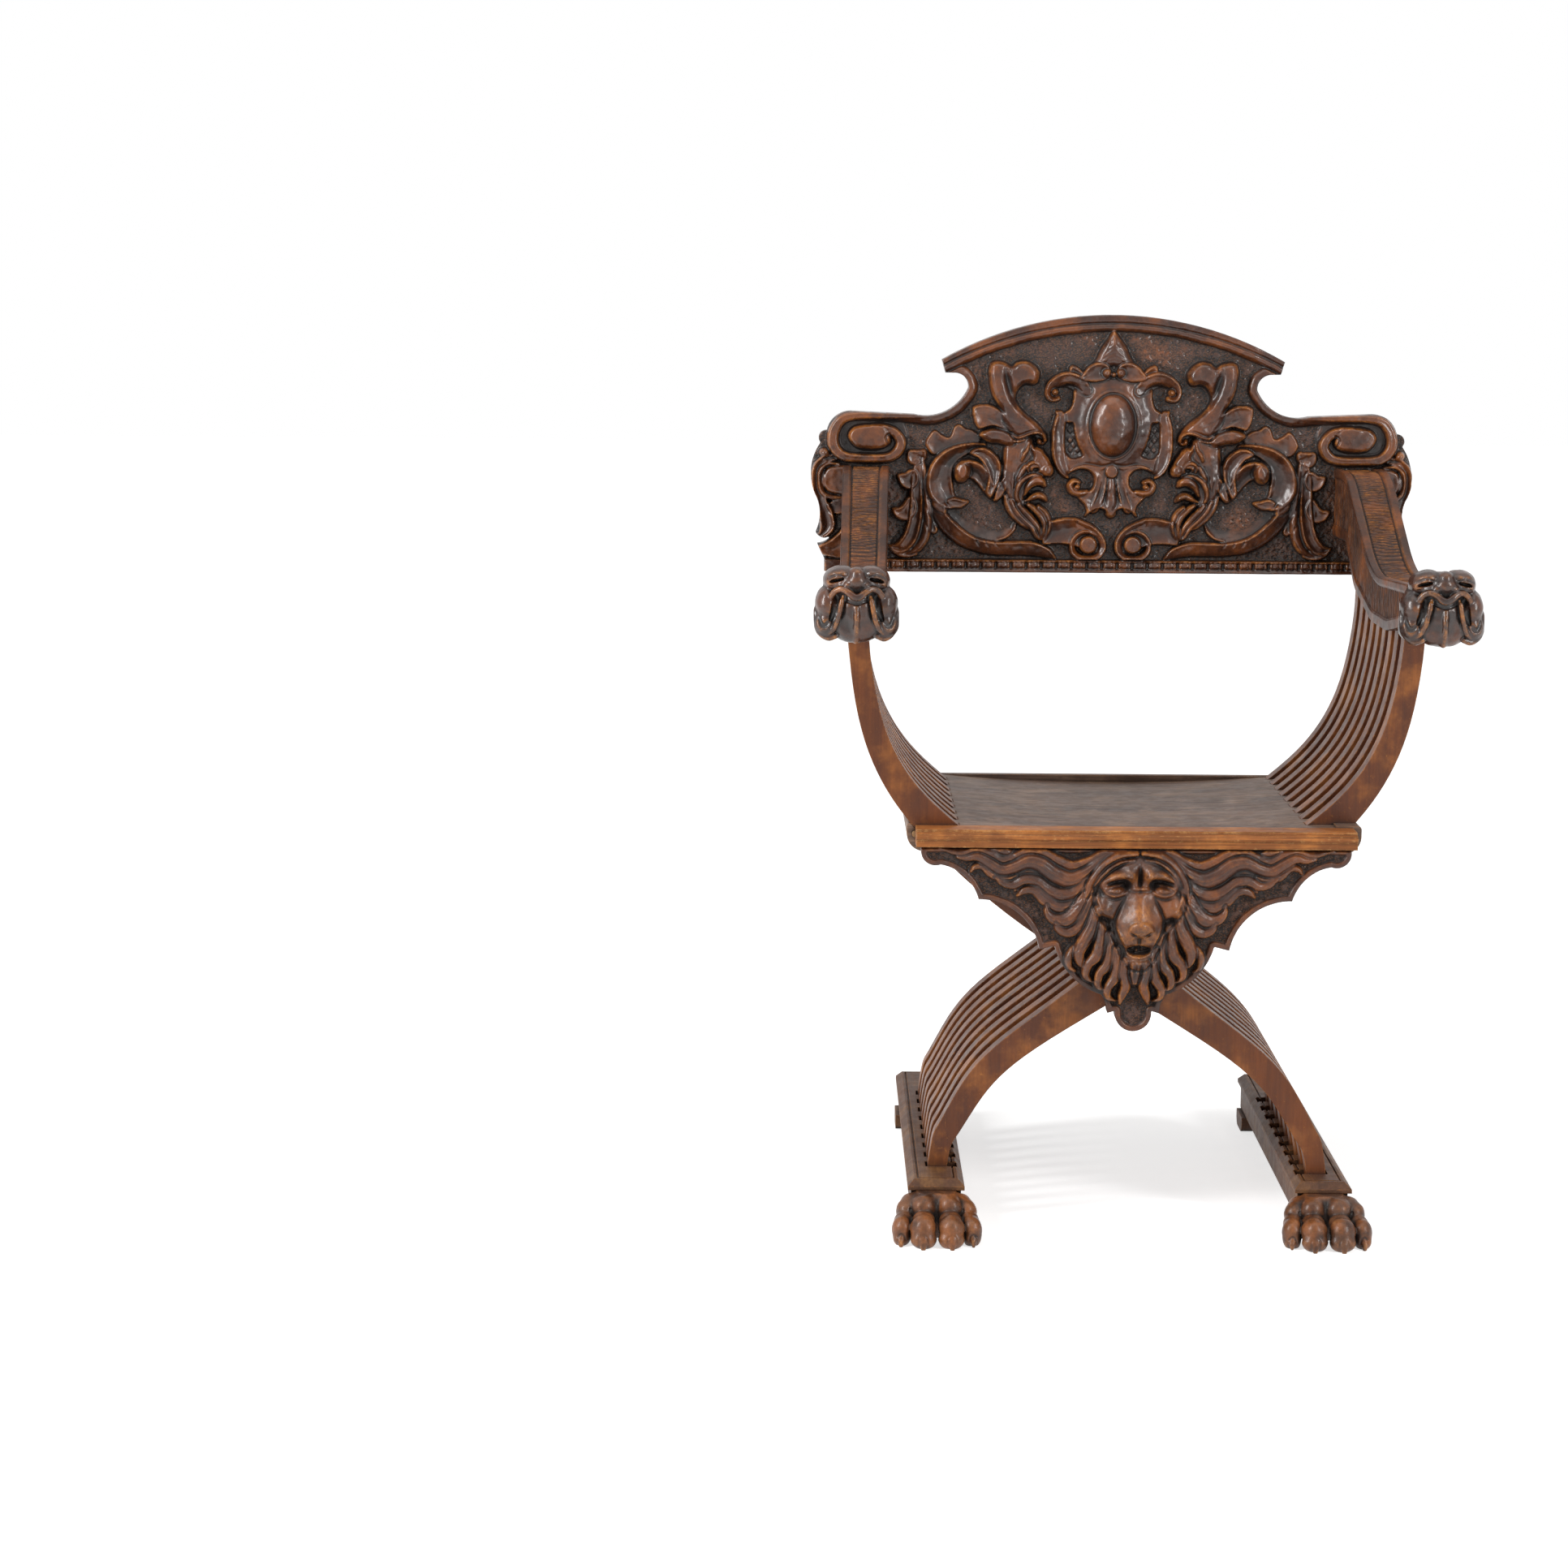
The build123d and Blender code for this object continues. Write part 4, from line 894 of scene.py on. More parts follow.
# the plumed grotesque in profile, facing the middle
def carveProfileMask(c):
    c.shape([(114.5, 822.5), (95.5, 823.5), (86.5, 813.5), (79, 807.5), (76, 803), (71, 797), (67.5, 789),
            (66, 782.5), (68.5, 777.5), (73, 776.5), (78.5, 777), (77.5, 773), (76, 767.5), (80.5, 763.5),
            (91, 761.5), (97.5, 754.5), (97.5, 749.5), (95.5, 744.5), (106.5, 741), (118.5, 748),
            (122.5, 759.5), (126.5, 774), (124.5, 799.5), (123, 813.5)], 12.5, 6, cut=2.4)
    c.line([(120.5, 802), (123, 790.5), (121, 780)], 2.6, 2.2)
    c.line([(118, 775.5), (115, 762.5), (116.5, 750)], 2.6, 2.2)
    c.line([(111.5, 788), (110.5, 771), (112.5, 752.5)], 2.6, 2.2)
    # nose, nostril and eye under the brim
    c.shape([(92, 814.5), (85, 811), (79, 807.5), (76, 803), (71, 797), (67.5, 789), (66, 782.5),
            (68.5, 777.5), (73, 776.5), (79, 777.5), (85, 780), (91, 781), (95.5, 783), (97, 788),
            (95.5, 792.5), (91.5, 799.5), (93.5, 807.5)], 16, 6, cut=1.4)
    c.dome(73.5, 784.5, 6.8, 7.4, 20, edge=6.8, cut=0, base=12)
    c.blob(79, 799.5, 4, 4.5, 2)
    c.band([(95, 782, 1.4, 15), (96.5, 787, 2, 18), (94.5, 791, 2.2, 19.5), (89.5, 793, 2.2, 19.5),
            (84.5, 791, 1.6, 18), (82, 787.5, 1, 16)], "roll", cut=1.4)
    c.dome(86.5, 785, 4, 2.4, 7, mode="cut", cut=0, edge=2)
    c.dome(88.5, 814.5, 2.8, 6.4, 5, mode="cut", cut=0, edge=2.6)
    c.band([(95, 817, 1.6, 14), (96.5, 808.5, 2.4, 17.5), (100.5, 802, 2.8, 18), (103, 795.5, 2, 15)],
        "roll", cut=1.4)
    c.band([(116, 822.5, 1.4, 14), (113.5, 817.5, 2, 16), (107, 817, 2.2, 16), (99.5, 819, 1.6, 15)],
        "roll", cut=1.2)
    c.line([(91, 802), (94.5, 796), (99.5, 793)], 2, 1.4)
    c.line([(86.5, 805.5), (80.5, 799), (74.5, 792.5)], 2, 1.4)
    c.line([(106.5, 808.5), (108.5, 799.5), (106.5, 792.5)], 2, 1.4)
    c.dome(103, 781, 4.8, 12.5, 17, 26, cut=1.8, edge=5)
    # fold round the mouth, lips and tongue
    c.band([(79, 777.5, 1.4, 15), (87.5, 779, 2, 17), (96, 776.5, 3, 18), (103.5, 771, 3.6, 18.5),
        (107.5, 762.5, 3.6, 18), (108, 753.5, 3.2, 16.5), (103, 743.5, 2, 14)], "roll", cut=1.8)
    c.shape([(99.5, 751.5), (97.5, 760.5), (91, 765.5), (82.5, 767.5), (76.5, 765), (76, 760.5),
        (79, 754), (88.5, 753.5), (94.5, 749.5)], 2.5, 2, mode="set", cut=0)
    c.band([(99, 755.5, 1.6, 14), (96, 764, 4, 17), (91, 770, 5.6, 19), (85.5, 772.5, 6.2, 20),
        (80, 771, 5, 19), (76.5, 767, 2.6, 15.5)], "roll", cut=1.2)
    c.dome(92, 758.5, 4.5, 1.8, 8.5, cut=0.6)
    c.band([(99, 749, 1.4, 13), (94.5, 750.5, 2.6, 15), (89.5, 753.5, 3.8, 18), (83.5, 755.5, 4.4, 19),
        (78, 753.5, 3.8, 18.5), (74, 749.5, 1.8, 15)], "roll", cut=1.8)
    c.blob(108, 800, 9, 10, 3)
    c.blob(113, 772, 7, 14, 2.5)
    c.blob(96, 741.5, 7, 3.5, 2.5)
    # beard in wavy locks
    for rows in (
        [(121, 754.5, 3, 12), (117, 743, 4.2, 13.5), (109, 731.5, 4.4, 13.5), (98, 721.5, 3.2, 13),
            (89.5, 716, 1.4, 11)],
        [(114.5, 749, 3, 14), (108.5, 738.5, 4.6, 15.5), (99.5, 729, 4.8, 16), (90, 720, 4, 15.5),
            (84, 708.5, 2.6, 14), (80.5, 705, 1.4, 12)],
        [(106, 744.5, 3, 14.5), (98, 736.5, 4.6, 17), (89.5, 728, 4.4, 17.5), (82.5, 718.5, 3.4, 16.5),
            (79, 705, 1.5, 13)],
        [(94.5, 745, 3, 15), (86, 738.5, 4.2, 17.5), (79, 730.5, 4.4, 18), (76, 721.5, 3.8, 17.5),
            (77, 712, 2.8, 16), (78.5, 705.5, 1.4, 13)],
        [(83, 743, 2.4, 14), (75.5, 736.5, 3.2, 16), (71, 727, 3.4, 16), (70.5, 718, 2.8, 15),
            (74.5, 707, 1.4, 12)],
    ):
        c.band(rows, "roll", cut=2)
    for points in (
        [(112.5, 748), (105, 737.5), (95.5, 727), (86.5, 716.5)],
        [(117, 748), (112.5, 737.5), (103, 727)],
        [(103, 744), (93.5, 735), (85, 725), (80.5, 712)],
        [(91, 744), (82.5, 736.5), (77.5, 727), (77.5, 714.5)],
        [(80.5, 742), (73.5, 733), (71.5, 722.5)],
        [(95.5, 742), (88.5, 735), (80.5, 723.5)],
    ):
        c.line(points, 1.8, 1.6)
    # plume and hat in one sweep down to the brim
    c.leaf([(159.5, 853.5), (154, 857.5), (145.5, 858.5), (136, 856.5), (127.5, 851.5), (121, 846),
            (113.5, 837.5), (114.5, 827), (126.5, 830.5), (136, 833.5), (145.5, 831.5), (151.5, 830),
            (156, 835), (158.5, 843)], 15.5, 4, 1.2, cut=2.6)
    c.line([(146.5, 844), (136, 840), (123, 832)], 2.6, 2.4)
    c.shape([(152.5, 823.5), (148, 829), (138.5, 832.5), (127.5, 832), (119.5, 829.5), (111, 823.5),
        (109.5, 815.5), (114.5, 810.5), (123, 811.5), (130, 813.5), (138.5, 814), (146.5, 817.5)], 17, 7,
        cut=2.2)
    c.shape([(127.5, 850.5), (133, 859.5), (138.5, 871), (141.5, 886), (142.5, 896), (140, 904.5),
            (132.5, 907.5), (123, 906), (116, 902.5), (110, 906.5), (100.5, 908), (91, 904), (85, 897.5),
            (83.5, 891.5), (85.5, 883.5), (91, 880), (98, 881), (104, 878.5), (109, 871), (109.5, 863),
            (104.5, 854), (95.5, 845.5), (86.5, 838.5), (79, 830), (74.5, 822), (75.5, 815.5), (80, 812),
            (85, 813.5), (86.5, 818.5), (90.5, 823), (95.5, 823), (101.5, 820.5), (107.5, 820),
            (113.5, 822), (118.5, 828.5), (123, 835), (126, 843)], 16, 7.5, cut=2.6)
    c.stroke([(123, 898.5, 4, 2), (120.5, 887, 8.5, 6), (117.5, 876.5, 9, 7), (114.5, 866, 7.5, 5.5),
            (110, 854.5, 3, 1.5)], "bell", mode="cut")
    c.line([(138, 904), (137, 887), (133, 871), (124.5, 853.5)], 2, 1.6)
    c.line([(116, 903), (116.5, 896), (118, 889)], 2.2, 2.4)
    c.blob(93, 892.5, 6, 8, 1.5)
    c.blob(95.5, 835, 9, 5, 1.8, -38)
    c.line([(123, 845.5), (112.5, 838.5), (100.5, 834), (91, 832.5)], 2.2, 1.2)
    c.band([(115, 824.5, 1.2, 15), (109, 821, 1.9, 18), (102.5, 822, 2.1, 19), (96.5, 824.5, 2.1, 19.5),
        (90.5, 826.5, 2.1, 20), (83.5, 826.5, 2.1, 20), (78, 823, 2, 19.5), (76, 817.5, 1.6, 18)], "roll",
        cut=1.2)
    c.shape([(91, 823.5), (85, 825), (80, 822), (78.5, 817), (81, 814), (85, 814.5), (86.5, 819)], 7, 2,
        mode="set", cut=0)
    c.dome(83, 816.5, 3.4, 4.2, 14.5, cut=0.8)


# shield with a lattice behind its flaps, bud, curls and pendant, on the x > 0 half
def carveCartouche(c):
    c.shape([(0, 943), (8, 933), (15, 923), (20, 912), (24, 903), (10, 899), (-10, 899), (-24, 903),
        (-20, 912), (-15, 923), (-8, 933)], 13.5, 12, cut=2)
    for k in range(5):
        z = 906 + 6.6 * k
        w = 22 - 4.2 * k
        c.line([(w, z - 7), (w * 0.45, z + 1), (0, z + 5)], 2.0, 2.2)
    # the plate: highest round the boss, falling to its lower edge and out to the lattice
    plate = [(-12, 902), (6, 898), (22, 899), (34, 891), (41, 884), (45, 874), (45.5, 863), (49, 854),
        (56, 849), (62, 842), (64, 820), (61, 800), (54, 786), (49, 780), (44, 785), (35, 789), (26, 789),
        (18, 785), (-12, 786)]
    c.shape(plate, 9, 2, cut=2)
    away = np.hypot(c.x / 27.5, (c.z - 835.5) / 37.5)
    rise = 5.5 * (1 - soft((away - 1) / 0.62))
    inner = insideOf(c.x, c.z, closedPath(plate, 1.0)) & (c.x > -12)
    c.h = np.where(inner & (away > 0.6), np.maximum(c.h, 9 * soft(c.h / 6) + rise * soft(c.h / 8)), c.h)
    c.shape([(56.5, 835), (46, 838), (43.5, 828), (39.5, 814), (34, 801), (44, 797.5), (51, 801),
        (55.5, 817)], 4.5, 1.2, mode="set", cut=0)
    bay = [(55, 833), (47, 836), (44.5, 828), (40.5, 814), (36, 803), (44, 799.5), (50, 803), (54, 817)]
    field = insideOf(c.x, c.z, closedPath(bay, 1.0))
    lattice = np.maximum(np.cos((c.x + 0.8 * c.z) * 0.72), np.cos((c.x - 0.8 * c.z) * 0.72))
    c.h = c.h - np.where(field, 2.4 * soft((lattice - 0.55) / 0.35), 0)
    c.band([(49.5, 775.5, 1.4, 9), (55, 784, 5.4, 12.5), (59.5, 797, 7.6, 14.5), (61.5, 814, 7.6, 15),
        (61, 831, 7.4, 14.5), (59, 845, 5.6, 13), (64, 851, 1.2, 10)], "slope", flip=True, cut=2.2)
    c.leaf([(33, 893), (42, 901.5), (49, 902), (51, 893), (46, 887), (38, 886)], 12.5, 4, 1.2)
    # ear scroll
    c.band([(30, 874, 6, 10), (39, 882, 9, 13.5), (50, 886.5, 9.2, 16), (61, 885.5, 7.4, 17),
        (70, 880, 5.4, 17.5), (73.5, 872, 4.4, 17.5), (70, 865.5, 4, 17.5), (63.5, 866, 3.6, 17)], "lean",
        cut=2.4)
    c.stroke([(36, 873, 2, 2), (44, 878, 5, 6), (53, 880, 4.4, 6), (60, 878, 2, 3)], "bell", mode="cut")
    c.dome(66.5, 872.5, 4.6, 4.6, 18.5, cut=1.6)
    # two arcs over the shield, each ending in a curl by the pearl
    c.leaf([(38, 887), (33, 897), (27, 903), (18, 906.5), (9, 905), (3.5, 899), (2.5, 892), (8, 887),
        (22, 884)], 15, 4.5, 1.2, (0, 0.05), cut=2.2)
    c.dome(8, 894.5, 6, 6, 17, cut=1.8, edge=4)
    c.line([(3.5, 898), (8, 899), (11.5, 895), (8.5, 891.5)], 1.5, 1.5)
    # pendant: one plate with a round bay at each side, wings and a wavy lower edge
    c.leaf([(-10, 790), (12, 789), (22, 790.5), (33, 791), (43, 787.5), (50, 779.5), (44, 783),
        (35, 785.5), (26, 783.5), (20.5, 777), (20.5, 768), (25, 761.5), (33, 759.5), (40, 761),
        (44, 757), (38, 752.5), (31, 745), (28.5, 738), (30, 731), (22, 737.5), (14, 740.5), (7, 738.5),
        (0, 732), (-10, 738)], 13, 4.5, 1.2, cut=2.4)
    c.band([(28, 760, 2.5, 12), (36, 758, 4.4, 15), (44, 760.5, 4.6, 16), (47.5, 767, 3.8, 16),
        (43, 772, 3.2, 15.5), (37.5, 770.5, 2.6, 15)], "roll", cut=2)
    c.dome(39.5, 765.5, 4.2, 3.8, 16, cut=1.4)
    c.band([(9, 782, 3, 11), (10.5, 768, 4.4, 13), (13.5, 755, 5, 13.5), (18.5, 742, 5, 13),
        (21, 737, 2, 10)], "trough", cut=0.8)
    c.band([(0, 781, 4.5, 11), (0, 764, 6, 13.5), (0, 747, 7.4, 14), (0, 736, 6.5, 12)], "roll", cut=1)
    # strap to the bottom spiral: its crest goes round the disc
    c.leaf([(78, 700.5), (72, 724), (62, 728.5), (49, 730.5), (36, 729), (23, 723), (13.5, 714), (9, 703),
        (12, 692), (26, 690), (42, 698), (60, 700)], 12.5, 5, 1.2, (0, 0.08), cut=2.2)
    c.band([(36, 725, 2.4, 12), (24, 719.5, 3.6, 13.5), (14, 710.5, 4.2, 14.5), (9, 699, 4.4, 15),
        (12.5, 689, 4.2, 15), (22, 684, 4, 15), (34, 684.8, 3.8, 14.5), (42, 691.5, 3.6, 14.5),
        (43, 702, 3.4, 14), (37, 710.5, 3, 13.5), (27, 713.5, 2.6, 13), (17, 709.5, 2.2, 12.5)], "lean",
        flip=True, cut=2.2)
    c.dome(25.5, 699.5, 10.6, 10.6, 14, cut=2.6, edge=2.6)
    c.line([(17, 703), (20, 708.5), (27, 710), (33, 706)], 1.6, 1.6)


# the oval boss in the middle of the shield, in its thin rim
def carveBoss(c):
    angles = np.linspace(0.02, 2 * math.pi - 0.02, 44)
    ring = [(28.6 * math.sin(a), 835.5 + 38.6 * math.cos(a), 2.2, 15.5) for a in angles]
    c.band(ring, "roll", cut=1)
    c.dome(0, 835.5, 26.2, 36.2, 28, cut=1.2, edge=27, base=8, power=0.92)
    c.dome(0, 892.5, 4.2, 4.2, 16, cut=1.6)
    c.dome(0, 783, 7.6, 7.6, 14.5, cut=1.4, edge=1.4)
    c.dome(0, 783, 6, 6, 1.0, mode="cut", cut=0, edge=0.8)


# volute over the arm and the ear outside it, on the x > 0 half
def carveEnds(c):
    c.band([(314, 797, 3.5, 9), (326, 794.5, 5, 12), (333.5, 786, 6.5, 13), (335, 773, 7, 13),
        (333.5, 758, 7, 13), (329.5, 744, 7.5, 13), (324.5, 731, 8.5, 13), (323, 719, 8.5, 13),
        (328, 710, 5, 12), (337, 705, 1.5, 9)], "trough", cut=2)
    c.band([(302, 751, 3, 10), (318, 751.5, 3.4, 12), (329, 757.5, 3.4, 12.5), (332.5, 770, 3.2, 12.5),
        (331, 783, 3, 12.5), (322, 789.5, 2.4, 11.5), (310, 789, 1.8, 10)], "roll", cut=1.6)
    c.shape([(298, 756), (314, 754.5), (324, 757.5), (329.5, 766), (329.5, 777), (325, 785), (316, 788),
        (298, 786)], 11, 5, 0.8, cut=2.6)
    c.leaf([(300, 750), (318, 747.5), (325, 741), (316, 732.5), (300, 735)], 9.5, 3)
    c.leaf([(298, 724), (311, 711), (322, 702), (335, 695), (331, 687), (318, 683), (298, 684)], 11, 4)
    c.line([(304, 700), (316, 693), (328, 693)], 2.4, 1.4)
    c.dome(327, 802, 6.5, 6, 12, cut=1.8)
    band = [(196, 845, 3.6, 7), (225, 844.6, 4, 9), (250, 844.7, 4.6, 12), (290, 844.5, 5.4, 13),
        (308, 839.5, 6.4, 13), (317, 825, 7.2, 13), (316, 809, 7.2, 13), (304, 798.2, 6.4, 13),
        (280, 796.2, 5.8, 13), (256, 797, 6, 13), (244, 804, 6.6, 13), (240.4, 815, 6.6, 13),
        (247, 825, 6.2, 13), (258, 829.2, 6.4, 13), (272, 828.5, 8, 13)]
    oval = [(324, 820), (318, 838), (300, 849), (250, 849), (235, 832), (233.5, 812), (243, 796),
        (262, 790.5), (298, 791), (316, 800)]
    c.shape(oval, 2.5, 1.0, mode="set", cut=0)
    c.stroke(band, "flat", cut=1.6)
    inner = [(x, z, 0.8, 1.0) for x, z, _, _ in band[1:-1]]
    c.stroke(inner, "groove", mode="cut")
    c.shape([(301, 821), (295, 831.5), (281, 835), (264, 834), (256, 828), (251.5, 820), (253, 812),
        (263, 806.5), (280, 805.5), (293, 809)], 13.5, 5, cut=2)
    c.line([(250, 826), (257, 821.5), (255.5, 814), (251, 809)], 3.0, 4.0)


# rim, stepped crest, bead row and bottom fillet
def carveMoulding(c, d):
    x, z = np.abs(c.x), c.z
    rim = np.where((z > 800) & (x < 314), 7 * quarter(np.clip(d - 2.5, 0, 9) / 7.5), 0)
    arc = panel["crestRadius"] - np.hypot(x, z - (panel["crestTop"] - panel["crestRadius"]))
    crest = (z > 885) & (x < 204) & (arc < 19)
    step = 7 * quarter(np.clip(arc - 12.5, 0, 9) / 6) - 3 * np.exp(-(((arc - 9.2) / 1.2) ** 2))
    c.h = np.where(crest, np.maximum(c.h, step), np.maximum(c.h, rim))
    rail = np.where(z < 679.2, 2.6, 7 * soft((681.8 - z) / 0.9))
    rail = np.where(z < 669.6, 7.0, np.where(z < 671, 5.6, rail))
    rail = np.where(x > 306, np.where(z < 681, 7, 0), rail)
    c.h = np.where((z < 681.8) & (x < 326), rail, c.h)
    # beads between pairs of crescents
    pitch, up = panel["beadPitch"], z - panel["beadZ"]
    local = np.mod(x + pitch / 2, pitch) - pitch / 2
    bead = 2.6 + 4.4 * quarter(up / 4.1) * soft((pitch / 2 - 1.0 - np.abs(local)) / 1.6)
    nearCrescent = np.abs(np.hypot(local - pitch / 2 + 6.2, up) - 6.4) < 0.7
    farCrescent = np.abs(np.hypot(local + pitch / 2 - 6.2, up) - 6.4) < 0.7
    bead = np.where(nearCrescent | farCrescent, bead - 1.4, bead)
    c.h = np.where((z > 671) & (z < 679.2) & (x < 306), np.maximum(bead, 2.6), c.h)


# an empty carving over the whole width of a board, and the board's outline
def startCarving(node, back, size):
    outline = loopWhere(node, lambda n, m: n.y > 0.9 and m.y > back - 0.3)[:, [0, 2]]
    reach = math.ceil(np.abs(outline[:, 0]).max()) + 2
    step = size["steps"][runKind]
    return Carving((-reach, size["bottom"]), (reach, size["top"]), step), outline


def makeBackPanel():
    carving, outline = startCarving("back_panel", panel["back"] - 0.2, panel)
    carveScrollAndLeaves(carving)
    carveProfileMask(carving)
    carveEnds(carving)
    carveCartouche(carving)
    carving.mirrorHalf()
    carveBoss(carving)
    d, _ = edgeDistance(carving, outline, 18)
    carveMoulding(carving, d)
    carving.finish(panel["seed"])
    carvedPlate("backPanel", carving, outline, panel["level"], panel["back"] - 0.3,
                materials["carvedWalnut"], ["back_panel"])


makeBackPanel()


# apron with the lion

# in mm; level is where the carving starts, and the steps are for a quick and a full run
apron = {
    "level": -196.0,
    "back": -177.3,
    "bottom": 218,
    "top": 418,
    "headX": 3.5,  # a little off the middle
    "rim": 3.2,
    "rounding": 1.8,
    "steps": (1.6, 0.8),
    "seed": 7,
}


# wavy strands from the head to the corners and locks hanging below, on the x > 0 half
def carveMane(c):
    strands = [
        [(14, 417, 4, 12), (34, 411, 5, 13), (52, 401, 6, 13), (68, 397, 6.5, 12), (84, 403, 6.5, 12),
         (98, 410, 6, 11), (112, 412, 5.5, 10.5),
         (126, 406, 5.5, 10.5), (140, 402, 5.5, 10), (154, 409, 5, 9.5), (168, 413, 4, 8.5),
         (182, 409, 3.5, 7.5), (194, 411, 2.5, 6), (206, 415, 1.2, 4)],
        [(20, 412, 5, 14), (38, 402, 6.5, 15.5), (54, 389, 8.5, 16), (70, 383, 9.5, 16),
         (86, 389, 9.5, 16), (100, 399, 9, 15.5),
         (114, 402, 8, 15), (128, 396, 7, 14), (141, 393, 6.5, 13), (154, 400, 6, 12),
         (166, 406, 5, 10.5), (178, 404, 3.2, 8.5), (188, 405, 1.2, 6)],
        [(32, 400, 5, 14), (46, 385, 6, 15), (60, 372, 7.5, 15.5), (76, 367, 8, 15), (91, 371, 8, 14.5),
         (104, 381, 7, 14),
         (117, 383, 6, 13), (129, 377, 5, 12), (140, 379, 4, 10), (148, 385, 1.4, 8)],
        [(42, 382, 5, 13), (52, 367, 6.5, 13.5), (65, 356.5, 7.5, 13.5), (81, 354, 7.5, 13),
         (95, 361, 6.5, 12.5), (106, 371, 5.5, 12),
         (117, 371, 4.5, 10.5), (124, 365, 1.4, 8)],
    ]
    locks = [
        [(45, 384, 5, 14), (53, 366, 8, 16.5), (62, 350, 9, 16.5), (73, 341, 8.5, 15.5),
         (85, 341, 6.5, 14), (93, 349, 4, 12.5), (93, 357, 1.4, 10)],
        [(46, 364, 5, 13), (52, 346, 7, 14.5), (60, 333, 7, 14), (71, 327, 6, 13), (81, 331, 4.5, 11.5),
         (84, 338, 1.4, 9)],
        [(40, 338, 4.5, 12), (49, 320, 5.5, 13), (61, 311, 5.5, 12.5), (69, 301, 4.5, 11.5),
         (68, 290, 3, 10), (62, 285, 1.2, 8)],
        [(42, 352, 6, 15), (46, 333, 8.5, 17), (54, 318, 8, 16.5), (59, 305, 6.5, 15), (56, 294, 4.5, 13),
         (49, 289, 1.4, 9)],
        [(35, 338, 5, 15), (36, 320, 7.5, 17), (40, 304, 7.5, 16.5), (49, 293, 5.5, 15), (51, 281, 4, 13),
         (44, 274, 1.5, 9)],
        [(27, 326, 5, 14), (26, 309, 7, 16.5), (29, 294, 7, 16), (37, 283, 5.5, 14.5), (38, 271, 4, 13),
         (30, 265, 1.4, 9)],
        [(20, 310, 5, 15), (18.5, 294, 6.5, 16.5), (21, 280, 6.5, 16), (28, 268, 5, 14.5),
         (27, 258, 3.2, 13), (19, 254, 1.4, 9)],
        [(11, 298, 5, 15), (11.5, 284, 6, 16), (9.5, 271, 6, 15.5), (13, 260, 4.6, 14.5),
         (15, 251, 1.6, 11)],
        [(3, 296, 3.5, 15), (3, 284, 4, 15), (1.5, 273, 2, 12)],
    ]
    for first, second in zip(strands, strands[1:]):
        count = min(len(first), len(second))
        between = [np.mean([first[i], second[i]], axis=0) - (0, 0, 1, 3.5) for i in range(count)]
        c.band(between, "roll", cut=0.8)
    curls = [
        [(124, 402, 3, 8), (135, 410, 5, 9), (146, 414, 5, 9), (158, 415, 3, 7), (166, 416, 1.2, 5)],
        [(126, 386, 3, 10), (138, 383, 5, 11), (150, 388, 5.5, 11), (160, 396, 4.5, 10), (169, 395, 3, 9),
         (173, 390, 1.2, 7)],
    ]
    for rows in curls + strands + locks:
        c.band(rows, "roll", cut=3)
    # grooves along every lock, at these shares of its half width and this deep, by turns
    grooves = [
        ((-0.35, 1.6), (0.1, 1.2), (0.5, 1.9)),
        ((-0.6, 1.2), (-0.2, 2.0), (0.3, 1.4)),
    ]
    for order, rows in enumerate(curls + strands + locks):
        path = smoothPath([row[:3] for row in rows], 3)
        along = np.gradient(path[:, :2], axis=0)
        across = np.stack([-along[:, 1], along[:, 0]], 1) / np.hypot(*along.T)[:, None]
        for share, depth in grooves[order % 2]:
            at = path[:, :2] + across * (share * path[:, 2])[:, None]
            c.line([tuple(p) for p in at[::2]], 1.9, depth)


